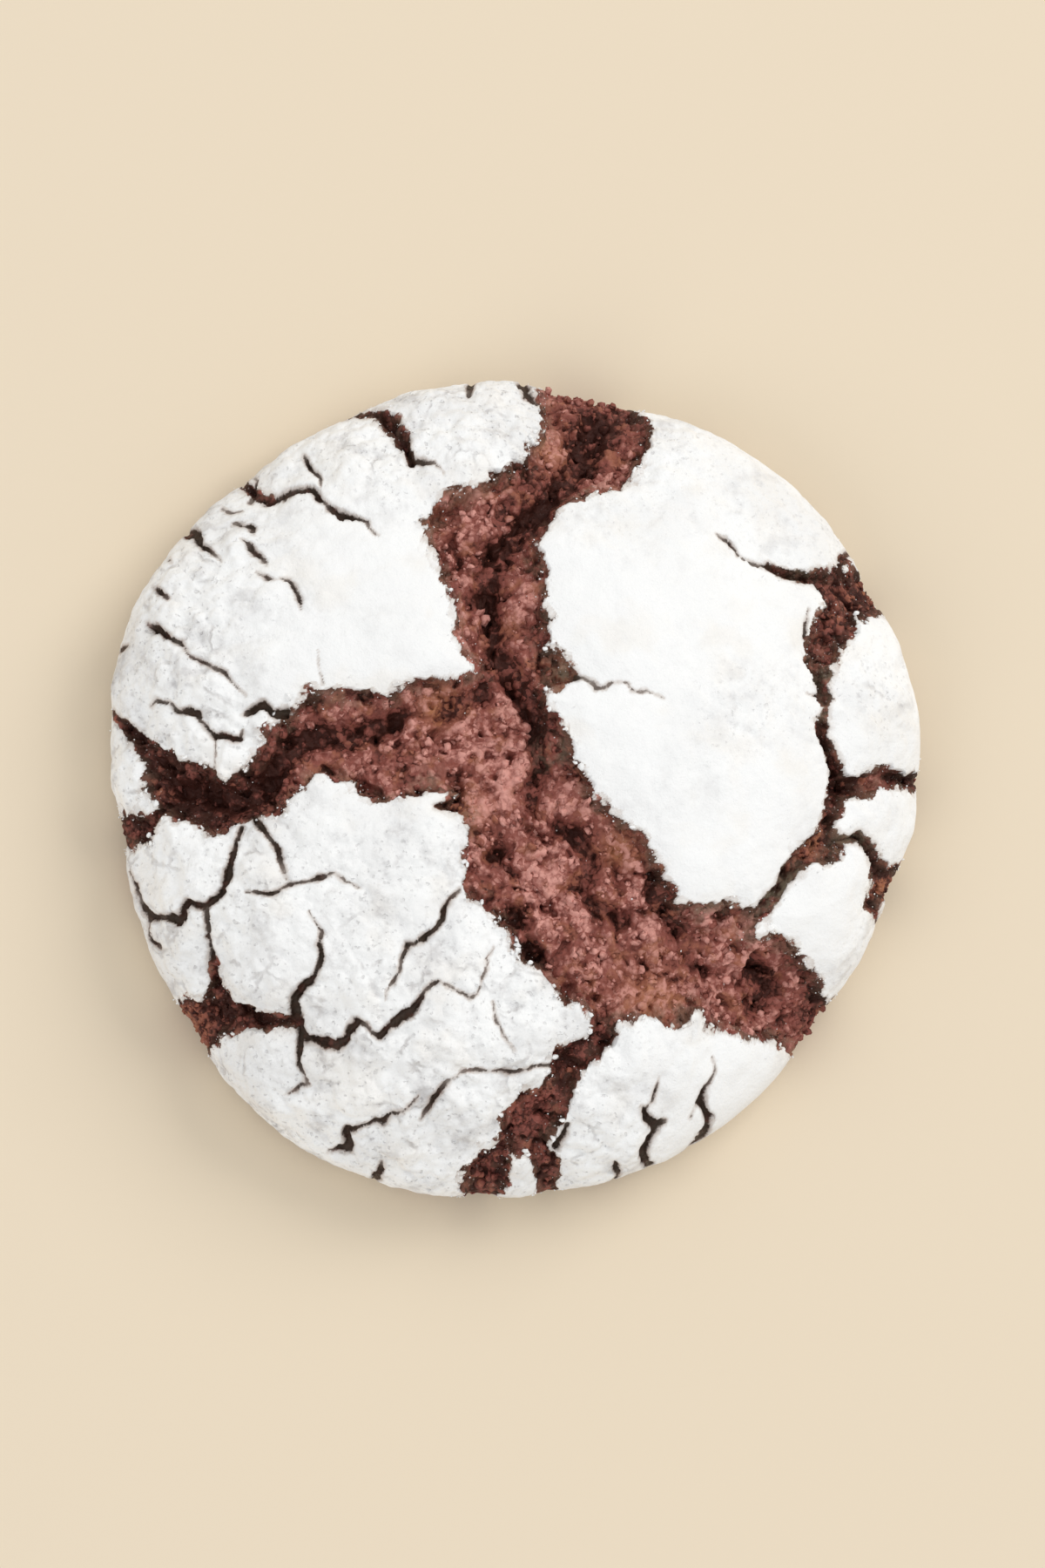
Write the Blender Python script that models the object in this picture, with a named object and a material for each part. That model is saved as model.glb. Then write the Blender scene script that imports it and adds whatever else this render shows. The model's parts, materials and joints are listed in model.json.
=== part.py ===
"""Chocolate crinkle cookie: a low domed biscuit whose sugared crust has broken into plates.

The cookie is one solid. It stands on Z = 0 with its flat base, and its middle is on the Z axis.
Its form is a turned section, stretched to an outline that is not quite round. Wide cracks are
sunk into it, and between them the crust plates swell a little, like small cushions.

Lengths are in metres. The section, the outline and the cracks are written in millimetres.
"""
import bmesh
import bpy
import numpy as np

MM = 0.001

# Section of the cookie, from the top of the dome to the middle of the base (millimetres)
DOME_HEIGHT = 14.3
WIDEST_HEIGHT = 4.0
DOME_SHOULDER = 2.5
DOME_FLATNESS = 1.8
FOOT_INSET = 0.065
SECTION_STEPS = 240

# Outline seen from above: the radius at equal angles, starting at +X (millimetres)
RIM_RADII = (
    32.8, 33.7, 33.5, 33.1, 32.9, 33.2, 33.0, 33.8,
    32.3, 32.1, 32.9, 33.5, 32.7, 32.1, 31.1, 31.3,
)

# Relief (millimetres), and the share of it that is left on the upright side
SIDE_RELIEF = 0.32
PLATE_SWELL = 0.9
SWELL_REACH = 2.2
CRUST_STEP = 0.9
STEP_WIDTH = 0.9
FLOOR_SAG = 0.8
SAG_REACH = 2.5
PLATE_WAVE = 0.35
PLATE_WAVE_SIZE = 9.0
CRUMB_LUMP = 0.4
CRUMB_LUMP_SIZE = 2.6
CRACK_WANDER = 0.4
CRACK_WANDER_SIZE = 2.4

# Resolution
SPHERE_SUBDIVISIONS = 8
TRIANGLES = 11400

# Cracks as chains of circles: (x, y, radius) in millimetres, as the photograph shows them. The
# coordinates are measured from a point a little off the middle of the outline, which is given
# here. The photograph looks from the lower left, so what lies higher than the rim appears
# further to the right and up, by this share of the height.
OUTLINE_MIDDLE = (0.35, -0.6)
VIEW_LEAN = (0.123, 0.109)
CRACKS = {
    "north arm": (
        (6.4, 31.5, 4.1), (7.0, 27.9, 4.4), (2.7, 24.3, 2.7), (-2.4, 19.6, 4.4),
        (-0.9, 15.9, 4.1), (-0.8, 13.0, 3.9), (0.2, 10.4, 3.0), (0.2, 7.0, 2.6),
    ),
    "north lobe": ((1.5, 9.6, 2.1), (3.4, 9.1, 1.5), (5.2, 8.6, 0.35)),
    "trunk": (
        (-1.2, 4.6, 4.3), (-0.2, 2.2, 5.1), (0.3, 0.0, 5.1), (3.8, -5.2, 5.6), (5.8, -8.0, 6.2),
        (7.4, -11.2, 6.4), (8.6, -13.2, 5.9),
    ),
    "trunk shoulder": ((-0.5, -4.2, 3.2), (-0.8, -7.4, 3.2), (1.7, -10.6, 2.2), (2.6, -13.0, 2.1)),
    "trunk spur": ((-3.4, -1.8, 1.5), (-5.9, -1.9, 0.2)),
    "south-east arm": (
        (8.6, -13.2, 5.9), (13.0, -14.2, 4.9), (17.0, -14.4, 5.2), (20.0, -16.0, 4.3),
        (21.8, -17.0, 3.9), (23.4, -18.6, 3.0), (27.5, -21.6, 2.8),
    ),
    "west arm": (
        (-1.0, 4.0, 4.6), (-6.0, 3.8, 4.6), (-9.2, 2.8, 4.3), (-12.2, 3.5, 4.0),
        (-15.0, 3.7, 3.4), (-17.0, 2.7, 2.9), (-19.8, -0.5, 2.2), (-21.7, -1.4, 1.9),
        (-23.7, -2.0, 2.2), (-25.5, -1.1, 2.4), (-27.2, -0.5, 2.4), (-28.0, 0.9, 1.5),
        (-29.6, 2.6, 0.95), (-30.6, 3.7, 0.55), (-31.6, 4.7, 0.35), (-33.0, 6.4, 0.3),
    ),
    "west rim": ((-28.2, -2.6, 0.55), (-28.8, -3.4, 0.6), (-29.9, -4.1, 1.35), (-34.0, -4.9, 1.5)),
    "east crack": (
        (21.0, 17.8, 0.3), (22.2, 17.2, 0.42), (23.3, 17.0, 0.55), (24.4, 16.9, 0.6),
        (26.9, 16.0, 2.1), (28.6, 15.6, 1.9), (33.6, 17.6, 1.5),
    ),
    "east crack tip": ((26.6, 17.4, 1.1), (27.1, 18.8, 0.4)),
    "east crack heel": ((28.6, 14.9, 1.0), (30.2, 14.6, 0.7), (31.6, 13.1, 0.15)),
    "east descent": (
        (26.6, 14.0, 1.85), (25.8, 12.6, 1.7), (25.2, 11.3, 1.4), (25.1, 10.0, 1.05),
        (25.2, 8.5, 0.8), (25.5, 7.3, 0.75), (25.6, 6.5, 0.2), (25.2, 5.4, 0.75),
        (25.3, 4.2, 0.5), (25.8, 3.0, 0.45), (26.3, 1.8, 0.55), (26.4, 0.6, 0.75),
        (26.3, -0.8, 0.85), (26.2, -2.0, 0.8), (25.6, -3.0, 0.7), (25.3, -4.6, 1.3),
        (23.8, -5.3, 1.15), (22.6, -6.6, 0.75), (21.6, -8.0, 0.52), (20.4, -9.6, 0.5),
        (19.4, -10.9, 0.5),
    ),
    "east diamond corner": ((25.3, -4.6, 1.3), (25.6, -5.4, 0.8)),
    "east rim": (
        (26.8, 0.0, 0.95), (28.0, 0.05, 1.0), (29.0, 0.55, 0.95), (30.5, 1.05, 1.05),
        (32.4, 0.55, 0.75), (36.0, 0.4, 0.8),
    ),
    "east fork": (
        (26.5, -4.1, 0.3), (27.3, -4.1, 0.3), (28.2, -3.9, 0.5), (28.9, -4.8, 0.6),
        (29.5, -5.9, 0.75), (30.2, -7.3, 1.25),
    ),
    "east wedge": ((30.5, -7.8, 1.55), (35.4, -9.2, 1.7)),
    "east wedge heel": ((29.7, -8.4, 0.95), (29.4, -9.4, 0.7), (29.7, -10.8, 0.2)),
    "south crack": (
        (7.6, -18.6, 1.4), (7.2, -20.0, 1.15), (5.8, -21.2, 1.25), (4.7, -22.6, 1.45),
        (4.2, -24.0, 1.5), (3.4, -25.2, 1.7), (2.6, -26.2, 2.0), (1.4, -27.1, 1.85),
        (1.2, -28.0, 1.8), (-0.6, -29.4, 1.0), (-1.3, -30.4, 1.3), (-2.0, -32.0, 1.7),
        (-3.4, -37.0, 1.9),
    ),
    "south split": (
        (1.2, -28.0, 1.8), (2.3, -29.2, 1.2), (2.9, -30.4, 1.0), (3.1, -31.5, 0.9),
        (3.5, -36.5, 0.8),
    ),
    "south-west rim": (
        (-29.4, -22.8, 2.9), (-25.2, -19.8, 2.6), (-23.0, -18.9, 1.9), (-21.2, -19.0, 1.25),
        (-19.0, -19.3, 0.75), (-17.0, -19.4, 0.6),
    ),
    "west edge": ((-23.4, -17.2, 1.2), (-23.5, -15.8, 0.65), (-23.8, -14.6, 0.4)),
    "north-west rim": (
        (-13.8, 29.5, 0.3), (-10.5, 29.5, 0.45), (-9.7, 28.8, 0.95), (-8.9, 27.9, 0.7),
        (-8.3, 26.7, 0.45), (-7.9, 25.8, 0.3),
    ),
    "upper left rim": (
        (-25.0, 26.6, 0.6), (-20.9, 23.3, 0.5), (-20.2, 22.8, 0.45), (-19.4, 22.4, 0.45),
    ),
}

SUGAR_CRUST = {"color": (0.86, 0.84, 0.82), "roughness": 0.85}
CHOCOLATE_CRUMB = {"color": (0.085, 0.030, 0.022), "roughness": 0.6}


def clear_scene():
    """Remove every object that the file opened with."""
    for leftover in list(bpy.data.objects):
        bpy.data.objects.remove(leftover, do_unlink=True)


def make_material(name, color, roughness):
    """A plain Principled material."""
    material = bpy.data.materials.new(name)
    material.use_nodes = True
    shader = material.node_tree.nodes["Principled BSDF"]
    shader.inputs["Base Color"].default_value = (*color, 1.0)
    shader.inputs["Roughness"].default_value = roughness
    shader.inputs["Metallic"].default_value = 0.0
    material.diffuse_color = (*color, 1.0)
    return material


def smooth_step(value):
    """0 below zero, 1 above one, and an S-shaped rise between them."""
    clamped = np.clip(value, 0.0, 1.0)
    return clamped * clamped * (3.0 - 2.0 * clamped)


def lattice_noise(points, size, seed):
    """A smooth random value from -1 to 1 whose swellings are about as wide as `size`.

    Each corner of a cubic lattice has a fixed random value, and a point takes the blend of the
    eight corners round it.
    """
    scaled = points / size
    cell = np.floor(scaled).astype(np.int64)
    blend = smooth_step(scaled - cell)
    total = np.zeros(len(points))
    for corner in np.ndindex(2, 2, 2):
        index = cell + corner
        mixed = index[:, 0] * 374761393 + index[:, 1] * 668265263 + index[:, 2] * 2147483647
        mixed = (mixed + seed * 1274126177) & 0xFFFFFFFF
        mixed = ((mixed ^ (mixed >> 13)) * 1274126177) & 0xFFFFFFFF
        mixed = mixed ^ (mixed >> 16)
        weight = np.prod(np.where(corner, blend, 1.0 - blend), axis=1)
        total += weight * (mixed / 0x7FFFFFFF - 1.0)
    return total


def section():
    """The section as radius (a share of the rim's) and height, from the top down to the base."""
    turn = np.linspace(0.0, np.pi / 2.0, SECTION_STEPS)
    dome_radius = np.sin(turn) ** (2.0 / DOME_SHOULDER)
    dome_height = np.cos(turn) ** (2.0 / DOME_FLATNESS)
    dome_height = WIDEST_HEIGHT + (DOME_HEIGHT - WIDEST_HEIGHT) * dome_height
    foot_radius = 1.0 - FOOT_INSET * (1.0 - np.cos(turn[1:]))
    foot_height = WIDEST_HEIGHT * (1.0 - np.sin(turn[1:]))
    base_radius = np.linspace(1.0 - FOOT_INSET, 0.0, SECTION_STEPS)[1:]
    radius = np.concatenate([dome_radius, foot_radius, base_radius])
    height = np.concatenate([dome_height, foot_height, np.zeros_like(base_radius)])
    return radius, np.maximum(height, 0.0)


def rim_radius(angle):
    """The smooth cookie's outline at each angle: the closed curve through the given radii.

    The swell that the plates add to the side is taken off first.
    """
    waves = np.fft.rfft(RIM_RADII) / len(RIM_RADII)
    radius = np.full(np.shape(angle), waves[0].real - SIDE_RELIEF * PLATE_SWELL)
    for order in range(1, len(waves) - 1):
        wave = waves[order]
        radius += 2.0 * (wave.real * np.cos(order * angle) - wave.imag * np.sin(order * angle))
    return radius


def cookie_surface(direction):
    """Where each direction of a unit sphere lies on the smooth cookie.

    Equal areas of the sphere become equal areas of the cookie, so its points stay evenly spread.
    Returns the points, the outward normals and the length down the section from the top.
    """
    radius, height = section()
    mean_rim = np.mean(RIM_RADII)
    step = np.hypot(np.diff(radius) * mean_rim, np.diff(height))
    down = np.concatenate([[0.0], np.cumsum(step)])
    middle_radius = 0.5 * (radius[1:] + radius[:-1])
    area = np.concatenate([[0.0], np.cumsum(step * middle_radius)])
    polar_share = 0.5 * (1.0 - direction[:, 2])
    place = np.interp(polar_share, area / area[-1], down)

    angle = np.arctan2(direction[:, 1], direction[:, 0])
    rim = rim_radius(angle)
    reach = np.interp(place, down, radius) * rim
    points = np.column_stack([
        reach * np.cos(angle),
        reach * np.sin(angle),
        np.interp(place, down, height),
    ])
    slope_out = np.interp(place, down, np.gradient(radius * mean_rim, down))
    slope_up = np.interp(place, down, np.gradient(height, down))
    normals = np.column_stack([
        -slope_up * np.cos(angle),
        -slope_up * np.sin(angle),
        slope_out,
    ])
    normals /= np.linalg.norm(normals, axis=1, keepdims=True)
    return points, normals, place


def plan_position(points, place):
    """The place of each point on the plan that the cracks are drawn on.

    On the dome this is where the photograph shows the point. Below the rim the plan goes on
    outwards by the length of the side, so a crack that reaches the rim runs on down the side.
    """
    radius, height = section()
    mean_rim = np.mean(RIM_RADII)
    dome_length = np.hypot(np.diff(radius) * mean_rim, np.diff(height))[:SECTION_STEPS - 1].sum()
    beyond_rim = np.maximum(place - dome_length, 0.0)
    angle = np.arctan2(points[:, 1], points[:, 0])
    reach = np.hypot(points[:, 0], points[:, 1])
    reach = np.where(beyond_rim > 0.0, rim_radius(angle) + beyond_rim, reach)
    above_rim = np.maximum(points[:, 2] - WIDEST_HEIGHT, 0.0)
    x = reach * np.cos(angle) + OUTLINE_MIDDLE[0] + VIEW_LEAN[0] * above_rim
    y = reach * np.sin(angle) + OUTLINE_MIDDLE[1] + VIEW_LEAN[1] * above_rim
    return x, y


def crack_distance(x, y):
    """Distance to the nearest crack's edge: negative inside a crack, positive on a plate."""
    nearest = np.full(np.shape(x), np.inf)
    for chain in CRACKS.values():
        for (ax, ay, a_radius), (bx, by, b_radius) in zip(chain[:-1], chain[1:]):
            run_x, run_y = bx - ax, by - ay
            share = ((x - ax) * run_x + (y - ay) * run_y) / (run_x ** 2 + run_y ** 2)
            share = np.clip(share, 0.0, 1.0)
            gap = np.hypot(x - ax - share * run_x, y - ay - share * run_y)
            nearest = np.minimum(nearest, gap - a_radius - share * (b_radius - a_radius))
    return nearest


def relief(points, distance, upright):
    """How far each point stands out from the smooth cookie, in millimetres.

    `upright` is 0 where the surface lies level and 1 where it stands up, as on the side.
    """
    inside = np.maximum(-distance, 0.0)
    swell = PLATE_SWELL * (1.0 - np.exp(-np.maximum(distance, 0.0) / SWELL_REACH))
    wave = PLATE_WAVE * lattice_noise(points, PLATE_WAVE_SIZE, 3)
    step = CRUST_STEP * smooth_step(inside / STEP_WIDTH)
    sag = FLOOR_SAG * (1.0 - np.exp(-inside / SAG_REACH))
    lumps = CRUMB_LUMP * lattice_noise(points, CRUMB_LUMP_SIZE, 5)
    full_relief = swell + wave - step - sag + lumps * smooth_step(inside / STEP_WIDTH)
    return full_relief * (1.0 - (1.0 - SIDE_RELIEF) * upright)


def shape_cookie(sphere):
    """Move the vertices of a unit sphere onto the cracked cookie. Returns each one's distance."""
    direction = np.array([vertex.co for vertex in sphere.verts])
    direction /= np.linalg.norm(direction, axis=1, keepdims=True)
    points, normals, place = cookie_surface(direction)
    plan_x, plan_y = plan_position(points, place)
    distance = crack_distance(plan_x, plan_y)
    distance += CRACK_WANDER * lattice_noise(points, CRACK_WANDER_SIZE, 1)
    above_base = smooth_step(points[:, 2] / WIDEST_HEIGHT)
    upright = smooth_step(1.0 - normals[:, 2])
    points += normals * (relief(points, distance, upright) * above_base)[:, None]
    for vertex, point in zip(sphere.verts, points * MM):
        vertex.co = point
    return distance


def make_cookie(collection):
    """The whole cookie as one closed body."""
    ball = bmesh.new()
    bmesh.ops.create_icosphere(ball, subdivisions=SPHERE_SUBDIVISIONS, radius=1.0)
    distance = shape_cookie(ball)
    for face in ball.faces:
        face.smooth = True
        if sum(distance[vertex.index] for vertex in face.verts) < 0.0:
            face.material_index = 1
    mesh = bpy.data.meshes.new("cookie")
    ball.to_mesh(mesh)
    ball.free()
    mesh.materials.append(make_material("sugar_crust", **SUGAR_CRUST))
    mesh.materials.append(make_material("chocolate_crumb", **CHOCOLATE_CRUMB))

    cookie = bpy.data.objects.new("cookie", mesh)
    collection.objects.link(cookie)
    thinning = cookie.modifiers.new("even_facets", "DECIMATE")
    thinning.decimate_type = "COLLAPSE"
    thinning.ratio = TRIANGLES / len(mesh.polygons)
    return cookie


def main():
    clear_scene()
    collection = bpy.data.collections.new("chocolate_crinkle_cookie")
    bpy.context.scene.collection.children.link(collection)
    make_cookie(collection)


main()
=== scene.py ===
# %% [markdown]
# # A chocolate crinkle cookie
#
# A crinkle cookie is a ball of chocolate dough rolled in powdered sugar. In the oven the ball
# sinks into a low dome, and the sugar crust, which can't stretch, tears into white plates. The
# moist crumb shows in the wide cracks between them.
#
# One solid carries the real form. This script dresses it: a fine surface with every crack, and
# over it the loose crumb, the sugar grains and the chips of crust. It starts by loading the
# solid as the frame that every piece is fitted to.

# %% Load the frame
import json
import math

import bpy
import numpy as np
from mathutils import Matrix, Vector

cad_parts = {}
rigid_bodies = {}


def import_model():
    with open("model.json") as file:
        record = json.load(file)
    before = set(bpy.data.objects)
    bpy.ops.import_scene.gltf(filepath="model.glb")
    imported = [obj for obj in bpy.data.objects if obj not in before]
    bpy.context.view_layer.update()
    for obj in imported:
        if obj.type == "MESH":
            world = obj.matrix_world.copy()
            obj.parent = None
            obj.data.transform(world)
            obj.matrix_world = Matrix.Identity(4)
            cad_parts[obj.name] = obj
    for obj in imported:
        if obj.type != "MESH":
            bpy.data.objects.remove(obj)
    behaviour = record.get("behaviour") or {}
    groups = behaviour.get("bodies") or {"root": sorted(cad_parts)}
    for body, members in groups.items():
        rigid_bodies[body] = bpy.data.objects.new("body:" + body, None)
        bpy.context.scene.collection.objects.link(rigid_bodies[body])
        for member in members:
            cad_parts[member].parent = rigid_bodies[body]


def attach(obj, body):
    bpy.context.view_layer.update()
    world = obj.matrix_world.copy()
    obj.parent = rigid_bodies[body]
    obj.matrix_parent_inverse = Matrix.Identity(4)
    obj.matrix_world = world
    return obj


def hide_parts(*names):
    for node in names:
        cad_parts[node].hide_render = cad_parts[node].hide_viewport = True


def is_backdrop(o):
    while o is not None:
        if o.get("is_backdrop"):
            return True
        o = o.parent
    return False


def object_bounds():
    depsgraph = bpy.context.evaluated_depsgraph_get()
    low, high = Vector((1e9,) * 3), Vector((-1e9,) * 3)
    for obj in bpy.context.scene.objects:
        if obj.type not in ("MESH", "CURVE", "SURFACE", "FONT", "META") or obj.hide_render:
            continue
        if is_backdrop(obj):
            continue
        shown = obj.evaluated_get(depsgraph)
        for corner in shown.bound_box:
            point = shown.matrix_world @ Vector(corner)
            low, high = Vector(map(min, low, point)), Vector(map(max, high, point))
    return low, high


for leftover in list(bpy.data.objects):
    bpy.data.objects.remove(leftover, do_unlink=True)
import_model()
cad_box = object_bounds()
MM = 0.001
print("solid in mm:", [round(side / MM, 1) for side in cad_box[1] - cad_box[0]])

# %% [markdown]
# ## Camera
#
# The photograph looks down on the cookie from about 0.8 m. The cookie lies right of the middle
# of the picture and above it, so the camera sees it from a little to its left and from below.
# A long lens brings the one cookie close, and the top of the picture stays the +Y side.

# %% Place the camera
CAMERA_TO_COOKIE = Vector((-0.100, -0.088, 0.810))
LENS_MM = 236.0
LONG_SIDE_MM = 36.0
NEAREST_SEEN = 0.01
FARTHEST_SEEN = 20.0


def add_object(name, data):
    """A new object in the scene, at the origin."""
    made = bpy.data.objects.new(name, data)
    bpy.context.scene.collection.objects.link(made)
    return made


def look_down(place, target):
    """Rotation of a camera at `place` that looks at `target` and keeps +Y upwards."""
    back = (place - target).normalized()
    right = Vector((0.0, 1.0, 0.0)).cross(back).normalized()
    up = back.cross(right)
    return Matrix((right, up, back)).transposed()


middle = Vector((cad_box[0] + cad_box[1]) / 2.0)
camera_data = bpy.data.cameras.new("camera")
camera_data.lens = LENS_MM
camera_data.sensor_width = LONG_SIDE_MM
camera_data.clip_start = NEAREST_SEEN
camera_data.clip_end = FARTHEST_SEEN
camera = add_object("camera", camera_data)
bpy.context.scene.camera = camera
camera_place = middle + CAMERA_TO_COOKIE
turn = look_down(camera_place, middle)
camera.matrix_world = Matrix.Translation(camera_place) @ turn.to_4x4()
print("camera distance in m:", round(CAMERA_TO_COOKIE.length, 3))

# %% [markdown]
# ## Light and floor
#
# A crust of sugar is matt and nearly white, and soft light is what shows its small relief. One
# large lamp stands at the upper right, a weak one fills in from the left, and the pale
# surroundings light the rest. The floor is plain and slightly warm, so that white sugar still
# stands out from it.

# %% Set the lamps, the surroundings and the floor
LAMPS = {
    "key_lamp": {"direction": (0.62, 0.52, 0.72), "power": 6.8, "color": (1.0, 0.985, 0.96)},
    "fill_lamp": {"direction": (-0.75, -0.55, 0.8), "power": 3.0, "color": (0.95, 0.97, 1.0)},
}
LAMP_DISTANCE = 1.3
LAMP_SIZE = 0.75
ROOM_COLOR = (0.99, 1.0, 1.0)
ROOM_STRENGTH = 0.70
FLOOR_COLOR = (0.80, 0.68, 0.52)
FLOOR_ROUGHNESS = 0.9
FLOOR_REACH = 3.0
FLOOR_GAP = 0.1 * MM

for name, lamp_values in LAMPS.items():
    lamp_data = bpy.data.lights.new(name, "AREA")
    lamp_data.size = LAMP_SIZE
    lamp_data.energy = lamp_values["power"]
    lamp_data.color = lamp_values["color"]
    lamp = add_object(name, lamp_data)
    direction = Vector(lamp_values["direction"])
    lamp.location = middle + direction.normalized() * LAMP_DISTANCE
    lamp.rotation_euler = direction.to_track_quat("Z", "Y").to_euler()

world = bpy.data.worlds.new("pale_room")
world.use_nodes = True
background = world.node_tree.nodes["Background"]
background.inputs["Color"].default_value = (*ROOM_COLOR, 1.0)
background.inputs["Strength"].default_value = ROOM_STRENGTH
bpy.context.scene.world = world
bpy.context.scene.view_settings.view_transform = "Standard"


def new_material(name):
    """A material and its Principled shader."""
    material = bpy.data.materials.new(name)
    material.use_nodes = True
    return material, material.node_tree.nodes["Principled BSDF"]


floor_mesh = bpy.data.meshes.new("floor")
corners = [(-1, -1), (1, -1), (1, 1), (-1, 1)]
floor_points = [(x * FLOOR_REACH, y * FLOOR_REACH, -FLOOR_GAP) for x, y in corners]
floor_mesh.from_pydata(floor_points, [], [(0, 1, 2, 3)])
floor_material, floor_shader = new_material("pale_floor")
floor_shader.inputs["Base Color"].default_value = (*FLOOR_COLOR, 1.0)
floor_shader.inputs["Roughness"].default_value = FLOOR_ROUGHNESS
floor_mesh.materials.append(floor_material)
floor = add_object("floor", floor_mesh)
floor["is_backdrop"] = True
print("lamps and floor set")

# %% [markdown]
# ## Random fields
#
# Baked dough is irregular at every size, from the long waves of the crust to the grain of the
# crumb. Two fields supply that. The first is a smooth swelling: random values on the corners of
# a cubic lattice, blended between them. The second is a heap of rounded lumps: each point takes
# its distance to the nearest of many scattered centres. Both are plain arithmetic on whole
# arrays, so the same cookie comes out each time.

# %% Define the two random fields
HASH_FACTORS = np.array((374761393, 668265263, 2147483647))
HASH_MIXER = 1274126177
HASH_SHIFTS = (13, 16)
HASH_LIMIT = 0xFFFFFFFF


def smooth_step(value):
    """0 below zero, 1 above one, and the S-shaped rise 3v^2 - 2v^3 between them."""
    clamped = np.clip(value, 0.0, 1.0)
    return clamped * clamped * (3.0 - 2.0 * clamped)


def lattice_value(index, seed):
    """A fixed random value from 0 to 1 for each whole-number lattice place.

    Large factors and shifted bits scramble the three numbers into one of 32 bits.
    """
    mixed = (index @ HASH_FACTORS + seed * HASH_MIXER) & HASH_LIMIT
    mixed = ((mixed ^ (mixed >> HASH_SHIFTS[0])) * HASH_MIXER) & HASH_LIMIT
    return (mixed ^ (mixed >> HASH_SHIFTS[1])) / HASH_LIMIT


def swelling(points, size, seed):
    """Smooth value from -1 to 1: the blend of eight lattice corners, `size` apart."""
    scaled = points / size
    cell = np.floor(scaled).astype(np.int64)
    blend = smooth_step(scaled - cell)
    total = np.zeros(len(points))
    for corner in np.ndindex(2, 2, 2):
        weight = np.prod(np.where(corner, blend, 1.0 - blend), axis=1)
        total += weight * (2.0 * lattice_value(cell + corner, seed) - 1.0)
    return total


def nearest_centre(points, size, seed):
    """The step to the nearest of many scattered centres, and its squared length in cells.

    One centre lies somewhere in each lattice cell of the given size.
    """
    scaled = points / size
    cell = np.floor(scaled).astype(np.int64)
    nearest = np.full(len(points), np.inf)
    step_to = np.zeros_like(points)
    for step in np.ndindex(3, 3, 3):
        neighbour = cell + np.array(step) - 1
        shift = [lattice_value(neighbour, seed + axis) for axis in range(3)]
        gap = neighbour + np.column_stack(shift) - scaled
        length = np.einsum("ij,ij->i", gap, gap)
        closer = length < nearest
        nearest[closer] = length[closer]
        step_to[closer] = gap[closer]
    return step_to * size, nearest


def lumps(points, size, seed):
    """Rounded heaps from 0 to 1: one less the squared distance to the nearest centre."""
    return np.clip(1.0 - nearest_centre(points, size, seed)[1], 0.0, 1.0)


print("random fields ready")

# %% [markdown]
# ## The smooth cookie
#
# Cut through the middle, the cookie is a dome with full shoulders, a side that tucks in, and a
# flat base. The section is a curve, so it could be turned like a lathe's work. Seen from above
# the rim isn't quite round, though, so the section is stretched at each angle to a rim radius
# that wavers by a millimetre. The numbers are the solid's own.

# %% Define the section and the rim
DOME_HEIGHT = 14.3
WIDEST_HEIGHT = 4.0
DOME_SHOULDER = 2.5
DOME_FLATNESS = 1.8
FOOT_INSET = 0.065
SECTION_STEPS = 240
RIM_RADII = (
    32.8, 33.7, 33.5, 33.1, 32.9, 33.2, 33.0, 33.8,
    32.3, 32.1, 32.9, 33.5, 32.7, 32.1, 31.1, 31.3,
)
SIDE_RELIEF = 0.32
PLATE_SWELL = 0.9
MEAN_RIM = np.mean(RIM_RADII)

quarter = np.linspace(0.0, np.pi / 2.0, SECTION_STEPS)
dome_radius = np.sin(quarter) ** (2.0 / DOME_SHOULDER)
dome_height = (DOME_HEIGHT - WIDEST_HEIGHT) * np.cos(quarter) ** (2.0 / DOME_FLATNESS)
side_radius = 1.0 - FOOT_INSET * (1.0 - np.cos(quarter[1:]))
side_height = WIDEST_HEIGHT * (1.0 - np.sin(quarter[1:]))
section_radius = np.concatenate([dome_radius, side_radius])
section_height = np.concatenate([dome_height + WIDEST_HEIGHT, side_height])
section_step = np.hypot(np.diff(section_radius) * MEAN_RIM, np.diff(section_height))
section_length = np.concatenate([[0.0], np.cumsum(section_step)])
dome_length = section_length[SECTION_STEPS - 1]


def rim_radius(angle):
    """The closed curve through the rim's radii: a sum of waves round the circle.

    What the crust plates add to the side is taken off.
    """
    waves = np.fft.rfft(RIM_RADII) / len(RIM_RADII)
    radius = np.full(np.shape(angle), waves[0].real - SIDE_RELIEF * PLATE_SWELL)
    for order in range(1, len(waves) - 1):
        wave = waves[order]
        radius += 2.0 * (wave.real * np.cos(order * angle) - wave.imag * np.sin(order * angle))
    return radius


def smooth_surface(place, angle):
    """Points and outward normals at a length `place` down the section and a turn `angle`."""
    reach = np.interp(place, section_length, section_radius) * rim_radius(angle)
    height = np.interp(place, section_length, section_height)
    points = np.column_stack([reach * np.cos(angle), reach * np.sin(angle), height])
    outward = -np.gradient(section_height, section_length)
    upward = np.gradient(section_radius * MEAN_RIM, section_length)
    lean = np.interp(place, section_length, outward)
    normals = np.column_stack([
        lean * np.cos(angle),
        lean * np.sin(angle),
        np.interp(place, section_length, upward),
    ])
    return points, normals / np.linalg.norm(normals, axis=1, keepdims=True)


print("section length from the top to the foot in mm:", round(section_length[-1], 1))

# %% [markdown]
# ## The cracks
#
# Each crack is a chain of circles, because a tear in dough widens and narrows along its run. A
# point's distance to a chain is its distance to the chain's line less the local radius, which
# is negative inside the crack. One such number for each point is enough to sink the crumb,
# swell the plates, and later to colour both.

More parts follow.
